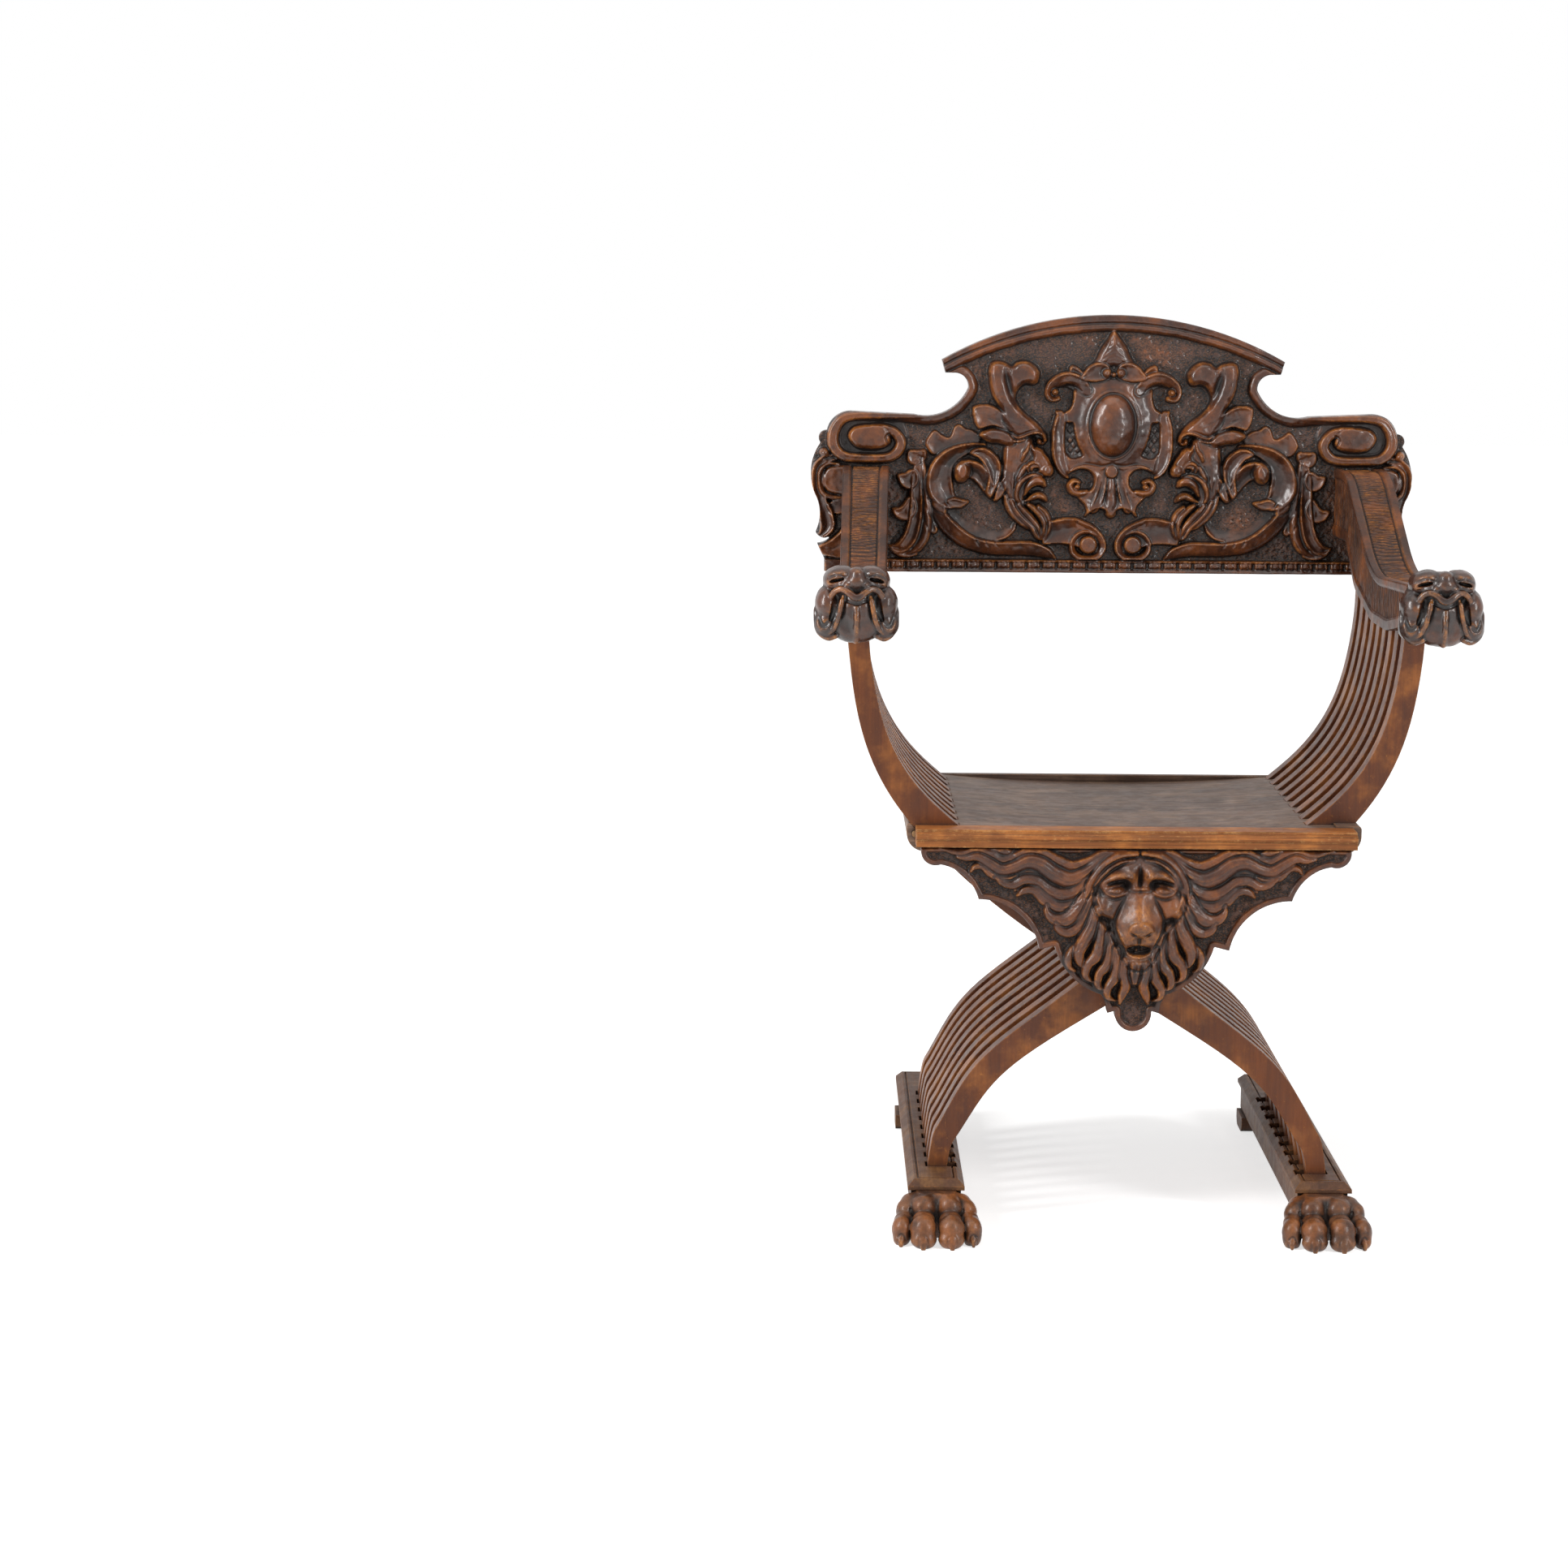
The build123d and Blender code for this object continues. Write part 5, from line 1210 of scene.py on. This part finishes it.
# the lion's head
def carveLion(c):
    cx = apron["headX"]
    head = bothSides([(0, 411), (20, 408), (36, 398), (45, 383), (48.5, 366), (47, 352), (40, 341),
        (31, 330), (23, 313), (16, 298), (9, 290), (4, 287.5)])
    c.shape([(cx + x, z) for x, z in head], 15, 17, cut=3.5)
    inside = ((c.x - cx) / 50) ** 2 + ((c.z - 352) / 66) ** 2 < 1.35
    kept = c.h.copy()
    for s in (-1, 1):
        for x, z, rx, rz, rise, turn in (
            (11, 398, 8, 9, 4, 0), (9.5, 388, 4.2, 6, 8, 0), (20, 389.5, 7, 3.2, 7, 6),
            (30, 386, 7, 3.4, 6.5, -24), (38, 379, 4.5, 4, 4, -50),
            (14, 379, 3.8, 4.6, -11, 0), (25, 381, 9, 2.4, -7, -8), (40, 371, 3, 4, -3, 0),
            (25, 373.3, 6.8, 3.4, 7, -4),
            (38, 352, 7.5, 8.5, 7, 0), (34, 341, 6.5, 3, -8, 20), (13, 338, 8, 10, 5.5, 10),
            (12, 324, 8.5, 6, 7, 0), (11, 317, 7, 2.4, 3, 0),
        ):
            c.blob(cx + s * x, z, rx, rz, rise, s * turn)
        # rubbed brows, cheeks and muzzle, partly painted highlights
        for x, z, rx, rz, amount in (
            (9, 389, 6, 5, 0.8), (24, 389, 12, 3, 0.5), (38, 352, 7, 8, 0.3), (12, 323, 8, 6, 0.5),
        ):
            c.rubbedHighlight(cx + s * x, z, rx, rz, amount)
    for x, z, rx, rz, rise in (
        (0, 386, 1.6, 9, -8), (0, 375.5, 9, 1.5, 3), (0, 372, 9, 1.1, -2.4), (0, 361, 9, 11, 7),
        (0, 346, 10, 9, 8), (1, 335, 9.5, 7, 10),
        (0, 319, 1.3, 4, -4), (0, 296, 9, 6, 8), (0, 299.6, 9, 1.1, -2.5),
    ):
        c.blob(cx + x, z, rx, rz, rise)
    # rubbed nose and chin, partly painted highlights
    c.rubbedHighlight(cx + 1, 342, 10, 15, 1.1)
    c.rubbedHighlight(cx, 302, 10, 4, 0.4)
    nose = bothSides([(0, 342), (7, 341), (12.5, 336), (13.5, 331.5), (9, 327.5), (0, 324)])
    c.shape([(cx + 1 + x, z) for x, z in nose], 3, 2.4, mode="add", cut=0)
    mouth = bothSides([(0, 314.5), (8, 313.5), (12.5, 309.5), (8, 305.5), (0, 304.5)])
    c.shape([(cx + x, z) for x, z in mouth], 10, 2.5, mode="cut", cut=0)
    for x, z, rx, rz, rise in ((-2.5, 309.5, 1.7, 2.4, 8), (3.2, 310.5, 1.6, 1.8, 6),
            (8, 310.5, 1.5, 1.6, 4.5), (-7.5, 310.5, 1.4, 1.6, 4)):
        c.blob(cx + x, z, rx, rz, rise)
    for s in (-1, 1):
        for rows, sign in (
            ([(12, 374, 1.2, 1.5), (17, 369.8, 1.8, 3.2), (25, 367.4, 2.0, 3.8), (33, 369, 1.8, 3.2),
              (38.5, 373.5, 1.2, 1.5)], "add"),
            ([(13, 378.5, 1.2, 1), (18, 379.4, 1.7, 3), (26, 378.6, 1.9, 3.6), (34, 375.6, 1.7, 3),
              (38.5, 372, 1.1, 1)], "add"),
            ([(43, 373, 1.4, 1), (44, 365, 2.2, 3), (41.5, 357, 2.2, 3), (38, 350, 1.4, 1)], "add"),
            ([(24, 335, 1.4, 1.5), (19.5, 325, 2.2, 3), (14, 313, 2.2, 3), (10.5, 304, 1.2, 1.2)], "add"),
            ([(15, 366, 2, 1.5), (22, 352, 3.2, 4.5), (26, 340, 3.2, 5), (24, 329, 2.6, 4),
              (17, 316, 1.8, 2.5), (13, 305, 1.4, 2)], "cut"),
            ([(15, 376.6, 1, 2), (20, 377.4, 1.3, 3.4), (28, 376.4, 1.4, 3.4), (35, 373.4, 1, 2)], "cut"),
            ([(15, 372, 0.9, 1.2), (21, 370, 1.1, 2), (29, 370, 1.1, 2), (35, 371.6, 0.9, 1.2)], "cut"),
            ([(12, 369, 1, 1.5), (20, 364.4, 1.5, 3.4), (28, 363.2, 1.5, 3.4), (37, 366, 1, 1.5)], "cut"),
        ):
            c.stroke([(cx + s * x, z, w, h) for x, z, w, h in rows], "bell", mode=sign)
        c.line([(cx + 1 + s * 2.5, 325.4), (cx + 1 + s * 7.5, 327.8), (cx + 1 + s * 12, 331.6)], 4, 7)
        c.dome(cx + s * 24, 374, 2.0, 2.0, 1.8, mode="cut", cut=0)
        lowerLip = ((0, 302.6, 1.6, 3), (8, 304, 1.4, 2.4), (12, 307, 1, 1))
        c.stroke([(cx + s * x, z, w, h) for x, z, w, h in lowerLip], "bell", mode="add")
    c.h = np.where(inside, c.h, kept)
    # hair combed from the parting over the temples
    for s in (-1, 1):
        for rows in (
            [(3, 411, 2.5, 14), (18, 410, 4.4, 19), (31, 404, 5, 20), (42, 393, 5, 19.5),
             (50, 379, 4.4, 17), (53, 366, 2, 14)],
            [(6, 405, 1.6, 15), (19, 403, 2.8, 19), (30, 396.5, 3.2, 19.5), (39, 387, 2.8, 18),
             (45, 377, 1.4, 14)],
        ):
            moved = [(cx * (1 - abs(x) / 70) + s * x, z, w, h) for x, z, w, h in rows]
            c.band(moved, "roll", cut=2)
            for share in (-0.4, 0.25):
                c.line([(x, z + share * w * 1.5) for x, z, w, h in moved], 1.9, 1.8)


def makeApron():
    carving, outline = startCarving("front_apron", apron["back"], apron)
    carveMane(carving)
    carving.mirrorHalf()
    carveLion(carving)
    d, _ = edgeDistance(carving, outline, 9)
    rim = apron["rim"] * soft((6.2 - d) / 1.0)
    carving.h = np.maximum(carving.h, np.where(carving.z < 414.5, rim, 0))
    carving.h = np.minimum(carving.h, 2 + 3.0 * np.clip(416.2 - carving.z, 0, 40))
    carving.finish(apron["seed"])
    carvedPlate("frontApron", carving, outline, apron["level"], apron["back"],
                materials["apronWalnut"], ["front_apron"], apron["rounding"])


makeApron()


# masks and paws

# in mm; the voxels are for a quick and a full run
mask = {"x": 296.0, "z": 677.0, "voxels": (1.4, 0.85), "seed": 21, "unevenness": 0.2}
paw = {"x": 204.5, "z": 0, "voxels": (1.6, 0.85), "seed": 22, "unevenness": 0.25}


# grotesque head with a scrolled upper lip, a broad hollow tongue and leafy jaw, about x = 0
def sculptMask():
    clay = Clay((-44, -304, -40.5), (44, -228.6, 41), mask["voxels"][runKind])
    clay.ball((0, -256, 2), (37, 34, 34), 0)
    clay.ball((0, -264, -14), (32, 34, 25), 6)
    clay.ball((0, -284, 20), (24, 14, 14), 6)
    for s in (-1, 1):
        clay.ball((s * 29, -272, 0), (13, 21, 19), 4)
        clay.ball((s * 17, -277, 31), (14, 19, 8.5), 4, turn=(0, s * 8, 0))
        clay.ball((s * 25, -270, 24), (9, 20, 11), 3)
        clay.ball((s * 30, -274, -20), (13, 18, 15), 4)
    # tongue: a broad plate, hollow at each side of a low middle rib, with thin raised edges
    clay.ball((0, -281, -4), (19, 19, 22), 3)
    clay.ball((0, -277, -22), (26, 20, 17), 4)
    for s in (-1, 1):
        clay.ball((s * 8, -303, -8), (6.5, 5, 15), 2, cut=True)
        clay.ball((s * 12, -300, -24), (9, 6, 12), 3, cut=True)
        clay.limb([(s * 14.5, -296, 10, 2), (s * 16, -297, 0, 2.3), (s * 18, -296, -11, 2.6),
            (s * 22, -291, -22, 2.8), (s * 29, -286, -29, 2.8), (s * 37, -279, -29, 2)], 1.4)
    clay.limb([(0, -299, 2, 2), (0, -300, -12, 2.4), (0, -296, -26, 2.6), (0, -288, -36, 3)], 2.4)
    for s in (-1, 1):
        # dark gap between the tongue and the lip and cheek
        clay.limb([(s * 7, -301, 4, 2), (s * 12, -300, 9.5, 3), (s * 17.5, -297, 11, 3.4),
            (s * 21, -294, 5, 3.4), (s * 23, -291, -6, 3), (s * 26, -288, -15, 2)], 1, cut=True)
        clay.ball((s * 20.5, -291, 25.5), (8, 8, 1.7), 1.5, turn=(0, s * 16, 0), cut=True)
        clay.limb([(s * 12, -294.4, 29, 1.1), (s * 20, -295.6, 31.5, 1.3), (s * 30, -287, 27, 1.1)], 0.8,
            cut=True)
        clay.limb([(s * 26, -289, 19, 1.6), (s * 31, -288, 18, 2), (s * 35, -283, 16, 2)], 1, cut=True)
    gap = [(-15, -292, 7, 2), (-9, -297, 5, 2.2), (-4, -299.5, 3.4, 2.2), (0, -300, 3, 2.2)]
    clay.limb(gap + [(-x, y, z, r) for x, y, z, r in gap[-2::-1]], 0.8, cut=True)
    lip = [(-28, -282, -13, 2.2), (-28.5, -286, -3, 2.8), (-26.5, -289, 7, 3.1), (-22, -292, 14.5, 3.3),
        (-15.5, -295.5, 17.5, 3.3), (-9, -298.5, 15, 3.3), (-4, -300, 10.5, 3.4), (0, -300.5, 9, 3.6)]
    clay.limb(lip + [(-x, y, z, r) for x, y, z, r in lip[-2::-1]], 0.9)
    # nose, with flat nostrils and a ridge to the brow
    clay.ball((0, -291, 25), (11, 11, 9), 2.5)
    clay.ball((0, -288, 33), (8, 11, 6), 3)
    for s in (-1, 1):
        clay.ball((s * 8.5, -293, 21.5), (5.5, 6.5, 4.2), 1.5)
        clay.ball((s * 4.2, -303, 20), (2.4, 3, 1.4), 0.8, cut=True)
        # jaw leaf: from the foot of the tongue, out and up round a crescent
        clay.limb([(s * 21, -287, -31, 3), (s * 29, -285, -33, 3.4), (s * 36.5, -281, -27.5, 3.6),
            (s * 40, -277, -16, 3.6), (s * 39.5, -274, -4, 3), (s * 36, -274, 3, 2)], 1.0)
        clay.limb([(s * 26.5, -292.5, -13, 2), (s * 30.5, -292.5, -19, 3.2), (s * 35, -291, -20, 3.4),
            (s * 38.5, -286, -12, 2.2)], 1, cut=True)
    clay.roughen(mask["seed"], 3.2, mask["unevenness"])
    clay.keep(1, -229.3, False)
    clay.keep(1, -303.8, True)
    clay.keep(0, -43.3, True)
    clay.keep(0, 43.3, False)
    clay.keep(2, -39.8, True)
    clay.keep(2, 39.5, False)
    return clay


# four-toed paw with two rows of knuckles and hooded claws, about x = 0
def sculptPaw():
    clay = Clay((-48.5, -267, -1), (48.5, -196.5, 50.5), paw["voxels"][runKind])
    clay.ball((0, -203, 26), (30, 24, 30), 0)
    for s in (-1, 1):
        clay.ball((s * 12, -212, 36), (15, 16, 14), 5)
        clay.ball((s * 13.6, -222, 35), (13.2, 13, 13.5), 3)
        clay.ball((s * 14, -235, 24), (12, 12, 10.5), 2.5)
        clay.ball((s * 14.8, -248, 18.5), (13.8, 14.5, 15), 2.5)
        clay.ball((s * 14.6, -254, 9), (13.8, 11, 10.5), 3)
    for s in (-1, 1):
        clay.ball((s * 27, -208, 30), (12, 16, 16), 4)
        clay.ball((s * 32, -216, 29), (10.5, 12, 13), 2.5)
        clay.ball((s * 34.5, -227, 21), (10, 11, 11), 2.5)
        clay.ball((s * 36.6, -238, 16), (10.8, 13, 14), 2.5)
        clay.ball((s * 37, -242, 8), (9.6, 10.5, 9.5), 3)
        clay.limb([(0, -246, 30, 1), (0, -262, 16, 1.2), (0, -264, 2, 1.2)], 1, cut=True)
        clay.limb([(s * 28, -226, 34, 1), (s * 27.5, -244, 20, 1.6), (s * 28, -252, 4, 2)], 1.2, cut=True)
        # hood over each claw, then the claw
        clay.limb([(s * 9.6, -264.8, 8, 1.2), (s * 10.6, -264.4, 14, 1.3), (s * 15, -264.4, 17, 1.3),
            (s * 19.4, -264.4, 14, 1.3), (s * 20.4, -264.8, 8, 1.2)], 0.8, cut=True)
        clay.limb([(s * 15, -257, 12.5, 5), (s * 15, -262, 7, 4.2), (s * 15, -264.5, 1, 2.4)], 0.8)
        clay.limb([(s * 33, -251.8, 7, 1), (s * 34.5, -251.8, 12, 1.2), (s * 38, -251.5, 14, 1.2),
            (s * 41.5, -250.8, 11, 1)], 0.8, cut=True)
        clay.limb([(s * 37.5, -246, 10.5, 4.2), (s * 38, -250.5, 6, 3.5), (s * 38, -252.5, 1, 2)], 0.8)
    clay.roughen(paw["seed"], 3.0, paw["unevenness"])
    clay.keep(2, 0.02, True)
    clay.keep(2, 48.7, False)
    clay.keep(1, -199.3, False)
    clay.keep(1, -265.8, True)
    return clay


# the same clay moved to x, z, mirrored for the other side of the chair
def shifted(clay, x, z, flip):
    clay.low = clay.low + np.array([x, 0, z])
    if flip:
        reach = clay.low[0] + clay.voxel * (clay.d.shape[0] - 1)
        clay.d = clay.d[::-1].copy()
        clay.low[0] = -reach
    return clay


def makeLumps():
    for side, flip in (("left", True), ("right", False)):
        clay = shifted(sculptMask(), mask["x"], mask["z"], flip)
        carvedClay(f"{side}Mask", clay, materials["maskWalnut"], [f"{side}_arm_mask"])
        clay = shifted(sculptPaw(), paw["x"], paw["z"], flip)
        carvedClay(f"{side}Paw", clay, materials["pawWalnut"], [f"{side}_paw"])


makeLumps()


# arms

# in mm; pairs are at the rear and the front end, and the steps for a quick and a full run
arm = {
    "rearY": 199.7,
    "frontY": -229.0,
    "middle": (279, 291),
    "width": (52, 47),
    "border": 9.0,
    "rounding": 1.8,
    "fieldDepth": 3.6,
    "rufflePitch": 4.3,
    "ruffleHeight": 2.9,
    "sideBorders": (9.5, 12.0),
    "sideDepth": 3.0,
    "gougePitch": 4.6,
    "gougeHeight": 2.2,
    "steps": (2.4, 1.05),
}


# top and underside heights of the arm along y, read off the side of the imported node
def armCurves():
    side = loopWhere("right_arm", lambda n, m: n.x > 0.95 and m.x > 300)
    y, z = side[:, 1], side[:, 2]
    rearTop = np.argmax(np.where(y > arm["rearY"] - 2, z, -1e9))
    frontTop = np.argmax(np.where(y < arm["frontY"] + 2, z, -1e9))
    frontLow = np.argmin(np.where(y < arm["frontY"] + 2, z, 1e9))
    rearLow = np.argmin(np.where(y > arm["rearY"] - 2, z, 1e9))
    n = len(side)

    def run(a, b, avoid):
        forward = [(a + k) % n for k in range(((b - a) % n) + 1)]
        backward = [(a - k) % n for k in range(((a - b) % n) + 1)]
        return side[backward if avoid in forward else forward]

    top = run(rearTop, frontTop, rearLow)
    low = run(rearLow, frontLow, rearTop)
    return [curve[np.argsort(curve[:, 1])] for curve in (top, low)]


# top of the arm: a sunk field of transverse ruffles between two borders
def ruffledTop(s, across, half):
    fromEdge = (1 - np.abs(across)) * half
    inner = fromEdge - arm["border"]
    wander = 1.6 * np.sin(s / 23 + across * 1.7) + 0.9 * np.sin(s / 9.1 + across * 3.1)
    pitch = arm["rufflePitch"] + 0.5 * np.sin(s / 41)
    wave = np.abs(np.sin(np.pi * (s + wander + 1.2 * across**2) / pitch))
    depth = 0.75 + 0.25 * np.sin(s * 1.7 + across * 5) * np.sin(s * 0.37)
    field = soft(inner / 1.0)
    ruffle = (wave**0.7) * arm["ruffleHeight"] * depth * np.clip((inner - 0.8) / 2.0, 0, 1)
    lineCut = np.exp(-(((inner + 0.2) / 0.8) ** 2))
    h = -arm["fieldDepth"] * field + ruffle * field - 1.0 * lineCut
    return h - roundedOff(fromEdge, arm["rounding"])


# side of the arm: a gouged field between the chamfered upper band and the smooth lower one
def gougedSide(s, fromTop, fromLow):
    upper, lower = arm["sideBorders"]
    inside = soft((fromTop - upper) / 1.2) * soft((fromLow - lower) / 1.2)
    cutLines = np.exp(-(((fromTop - 9.2) / 0.8) ** 2)) + np.exp(-(((fromLow - 11.6) / 0.8) ** 2))
    drift = 1.2 * np.sin(s / 17 + fromTop / 16) + 0.6 * np.sin(s / 7.3 - fromTop / 9)
    gouge = np.abs(np.sin(np.pi * (s + drift) / arm["gougePitch"])) ** 0.9
    broken = 0.75 + 0.25 * np.sin(fromTop / 7.5 + 3.1 * np.sin(s / 3.7))
    h = inside * (-arm["sideDepth"] + arm["gougeHeight"] * gouge * broken) - 1.0 * cutLines
    return h - roundedOff(np.minimum(fromTop, fromLow), arm["rounding"])


# a closed grid: stations along the arm, and points round each station
def makeArm(name, node, flip):
    top, low = armCurves()
    step = arm["steps"][runKind]
    y = np.append(np.arange(arm["rearY"], arm["frontY"], -step), arm["frontY"])
    zTop = np.interp(y, top[:, 1], top[:, 2])
    zLow = np.interp(y, low[:, 1], low[:, 2])
    along = np.concatenate([[0], np.cumsum(np.hypot(np.diff(y), np.diff(zTop)))])
    share = (arm["rearY"] - y) / (arm["rearY"] - arm["frontY"])
    (rearMiddle, frontMiddle), (rearWidth, frontWidth) = arm["middle"], arm["width"]
    centre = (rearMiddle + (frontMiddle - rearMiddle) * share)[:, None]
    half = ((rearWidth + (frontWidth - rearWidth) * share) / 2)[:, None]
    counts = (int(50 / step), int(74 / step), int(30 / step), int(74 / step))
    u = np.linspace(-1, 1, counts[0], endpoint=False) + 1 / counts[0]
    v = np.linspace(0, 1, counts[1], endpoint=False) + 0.5 / counts[1]
    w = np.linspace(-1, 1, counts[2], endpoint=False) + 1 / counts[2]

    s, across = np.meshgrid(along, u, indexing="ij")
    hTop = ruffledTop(s, across, half)
    slope = np.gradient(zTop, y)
    tilt = np.stack([-slope, np.ones_like(slope)], 1) / np.hypot(slope, 1)[:, None]
    yTop = y[:, None] + tilt[:, 0:1] * hTop
    pTop = np.stack([centre + across * half, yTop, zTop[:, None] + tilt[:, 1:2] * hTop], -1)

    s, down = np.meshgrid(along, v, indexing="ij")
    tall = (zTop - zLow)[:, None]
    hSide = gougedSide(s, down * tall, (1 - down) * tall)
    zSide = zTop[:, None] - down * tall
    ySide = np.broadcast_to(y[:, None], zSide.shape)
    pOuter = np.stack([centre + half + hSide, ySide, zSide], -1)
    pInner = np.stack([centre - half - hSide, ySide, zSide], -1)[:, ::-1]

    hLow = roundedOff((1 - np.abs(w))[None] * half, arm["rounding"])
    yLow = np.broadcast_to(y[:, None], hLow.shape)
    pLow = np.stack([centre - w[None] * half, yLow, zLow[:, None] + hLow], -1)

    grid = np.concatenate([pTop, pOuter, pLow, pInner], 1)
    heights = np.concatenate([hTop, hSide, -hLow, hSide[:, ::-1]], 1)
    sides = np.repeat([1, 0.35, 1, 0.35], counts)
    if flip:
        grid[..., 0] *= -1
        grid, heights, sides = grid[:, ::-1], heights[:, ::-1], sides[::-1]
    # wear, raised surfaces (rubbed and partly painted light) and painted shade of the arm
    worn, broad, shaded = heightAttributes(heights, step, 1.0, 3.5)
    n, m = heights.shape
    number = np.arange(n * m).reshape(n, m)
    right = np.roll(number, -1, axis=1)
    quads = np.stack([number[:-1], number[1:], right[1:], right[:-1]], -1).reshape(-1, 4)
    caps = [number[0].tolist(), number[-1][::-1].tolist()]
    layers = [
        ("wear", (worn * sides).ravel()),
        ("high", (broad * sides).ravel()),
        ("paintedShade", shaded.ravel()),
        ("ground", np.zeros(n * m)),
    ]
    uu = np.linspace(0, 1, m + 1)
    vv = along / along[-1] * 0.96
    i, j = np.divmod(np.arange((n - 1) * m), m)
    corners = [(0, 0), (1, 0), (1, 1), (0, 1)]
    uv = np.stack([np.stack([uu[j + dj], vv[i + di]], 1) for di, dj in corners], 1).reshape(-1, 2)
    angle = np.linspace(0, 2 * np.pi, m, endpoint=False)
    disc = np.stack([0.5 + 0.01 * np.cos(angle), 0.98 + 0.01 * np.sin(angle)], 1)
    addPiece(name, grid.reshape(-1, 3), quads.tolist() + caps, [node], materials["armWalnut"],
             layers, np.vstack([uv, disc, disc]))


makeArm("rightArm", "right_arm", False)
makeArm("leftArm", "left_arm", True)


# finishes of the plain pieces

finishes = {
    "carved_back": "carvedWalnut",
    "arm_wood": "armWalnut",
    "mask_wood": "maskWalnut",
    "stave_wood": "staveWalnut",
    "seat_wood": "seatWalnut",
    "apron_wood": "apronWalnut",
    "runner_wood": "runnerWalnut",
    "paw_wood": "pawWalnut",
    "peg_wood": "pegWood",
    "screw_steel": "screwSteel",
}
slots = {row["node"]: row["material_slot"] for row in frame["record"]["subparts"]}
for name, node in cadNodes.items():
    node.data.materials.clear()
    finish = "nosingWalnut" if name == "seat_front_rail" else finishes[slots[name]]
    node.data.materials.append(materials[finish])
print("finishes", len(cadNodes))


# studio

# place in m, angles in degrees, focal length and frame width in pixels, sensor in mm
view = {
    "place": (-0.3516, -3.902, 1.0409),
    "pitchYawRoll": (8.597, -0.259, 0.389),
    "focal": 4432.9,
    "frameWidth": 1932,
    "sensor": 36,
}


def makeCamera():
    data = bpy.data.cameras.new("camera")
    camera = bpy.data.objects.new("camera", data)
    bpy.context.scene.collection.objects.link(camera)
    pitch, yaw, roll = (math.radians(a) for a in view["pitchYawRoll"])
    ahead = Vector((math.sin(yaw) * math.cos(pitch), math.cos(yaw) * math.cos(pitch), -math.sin(pitch)))
    level = Vector((math.cos(yaw), -math.sin(yaw), 0))
    upright = level.cross(ahead)
    right = math.cos(roll) * level + math.sin(roll) * upright
    up = math.cos(roll) * upright - math.sin(roll) * level
    turn = Matrix((right, up, -ahead)).transposed().to_4x4()
    camera.matrix_world = Matrix.Translation(view["place"]) @ turn
    data.sensor_width = view["sensor"]
    data.lens = view["focal"] / view["frameWidth"] * view["sensor"]
    data.clip_end = 100
    bpy.context.scene.camera = camera
    print("camera", round(data.lens, 2), "mm")


def addLamp(name, place, target, size, power, tint="#ffffff"):
    data = bpy.data.lights.new(name, "AREA")
    data.shape = "RECTANGLE"
    data.size, data.size_y = size
    data.energy = power
    data.color = linear(tint)[:3]
    lamp = bpy.data.objects.new(name, data)
    bpy.context.scene.collection.objects.link(lamp)
    lamp.location = place
    lamp.rotation_euler = (Vector(target) - Vector(place)).to_track_quat("-Z", "Y").to_euler()


# sizes in m, power in W; glow is the white that only the camera and reflections see
studio = {
    "floorSize": 30,
    "floorTone": 0.86,
    "floorGlow": (0.67, 0.33),
    "glowFrom": 0.35,
    "glowFull": 1.3,
    "worldLight": 0.14,
    "worldGlow": 0.86,
    "lamps": {
        "leftBox": {"place": (-2.4, -1.2, 1.7), "target": (0, 0, 0.6), "size": (0.5, 1.9), "power": 72},
        "rightBox": {"place": (2.1, -2.2, 1.6), "target": (0, 0, 0.6), "size": (0.45, 1.8), "power": 52},
        "top": {
            "place": (0.0, -0.6, 3.2), "target": (0, 0, 0.5), "size": (3.0, 2.0), "power": 26,
            "tint": "#fffaf4",
        },
    },
}


# 1 for rays straight from the camera or by way of a glossy or clear surface, else 0
def seenRays(tree):
    path = add(tree, "ShaderNodeLightPath").outputs
    mirrored = math2(tree, "ADD", path["Is Glossy Ray"], path["Is Transmission Ray"])
    return math2(tree, "ADD", path["Is Camera Ray"], mirrored, clamp=True)


def makeFloor():
    bpy.ops.mesh.primitive_plane_add(size=studio["floorSize"], location=(0, 0, 0))
    floor = bpy.context.object
    floor.name = "floor"
    paper = bpy.data.materials.new("paper")
    paper.use_nodes = True
    tree = paper.node_tree
    tree.nodes.clear()
    position = add(tree, "ShaderNodeNewGeometry").outputs["Position"]
    far = add(tree, "ShaderNodeVectorMath", {0: position}, operation="LENGTH").outputs["Value"]
    near, more = studio["floorGlow"]
    glow = math2(tree, "MULTIPLY_ADD", ramp(tree, far, studio["glowFrom"], studio["glowFull"]), more,
        near)
    lift = math2(tree, "MULTIPLY", seenRays(tree), glow)
    tone = [studio["floorTone"]] * 3 + [1]
    matt = add(tree, "ShaderNodeBsdfDiffuse", {"Color": tone})
    shine = add(tree, "ShaderNodeEmission", {"Color": (1, 1, 1, 1), "Strength": lift})
    both = add(tree, "ShaderNodeAddShader", {0: matt.outputs[0], 1: shine.outputs[0]})
    output = add(tree, "ShaderNodeOutputMaterial")
    tree.links.new(both.outputs[0], output.inputs[0])
    floor.data.materials.append(paper)


def makeWorld():
    world = bpy.data.worlds.new("studio")
    bpy.context.scene.world = world
    world.use_nodes = True
    tree = world.node_tree
    tree.nodes.clear()
    strength = math2(tree, "MULTIPLY_ADD", seenRays(tree), studio["worldGlow"], studio["worldLight"])
    sky = add(tree, "ShaderNodeBackground", {"Color": (1, 1, 1, 1), "Strength": strength})
    output = add(tree, "ShaderNodeOutputWorld")
    tree.links.new(sky.outputs[0], output.inputs[0])


def makeStudio():
    makeFloor()
    makeWorld()
    for name, lamp in studio["lamps"].items():
        addLamp(name, **lamp)
    print("studio", len(studio["lamps"]), "lamps")


makeCamera()
makeStudio()
scene = bpy.context.scene
scene.render.engine = "CYCLES"
scene.cycles.samples = 160
scene.view_settings.view_transform = "Standard"
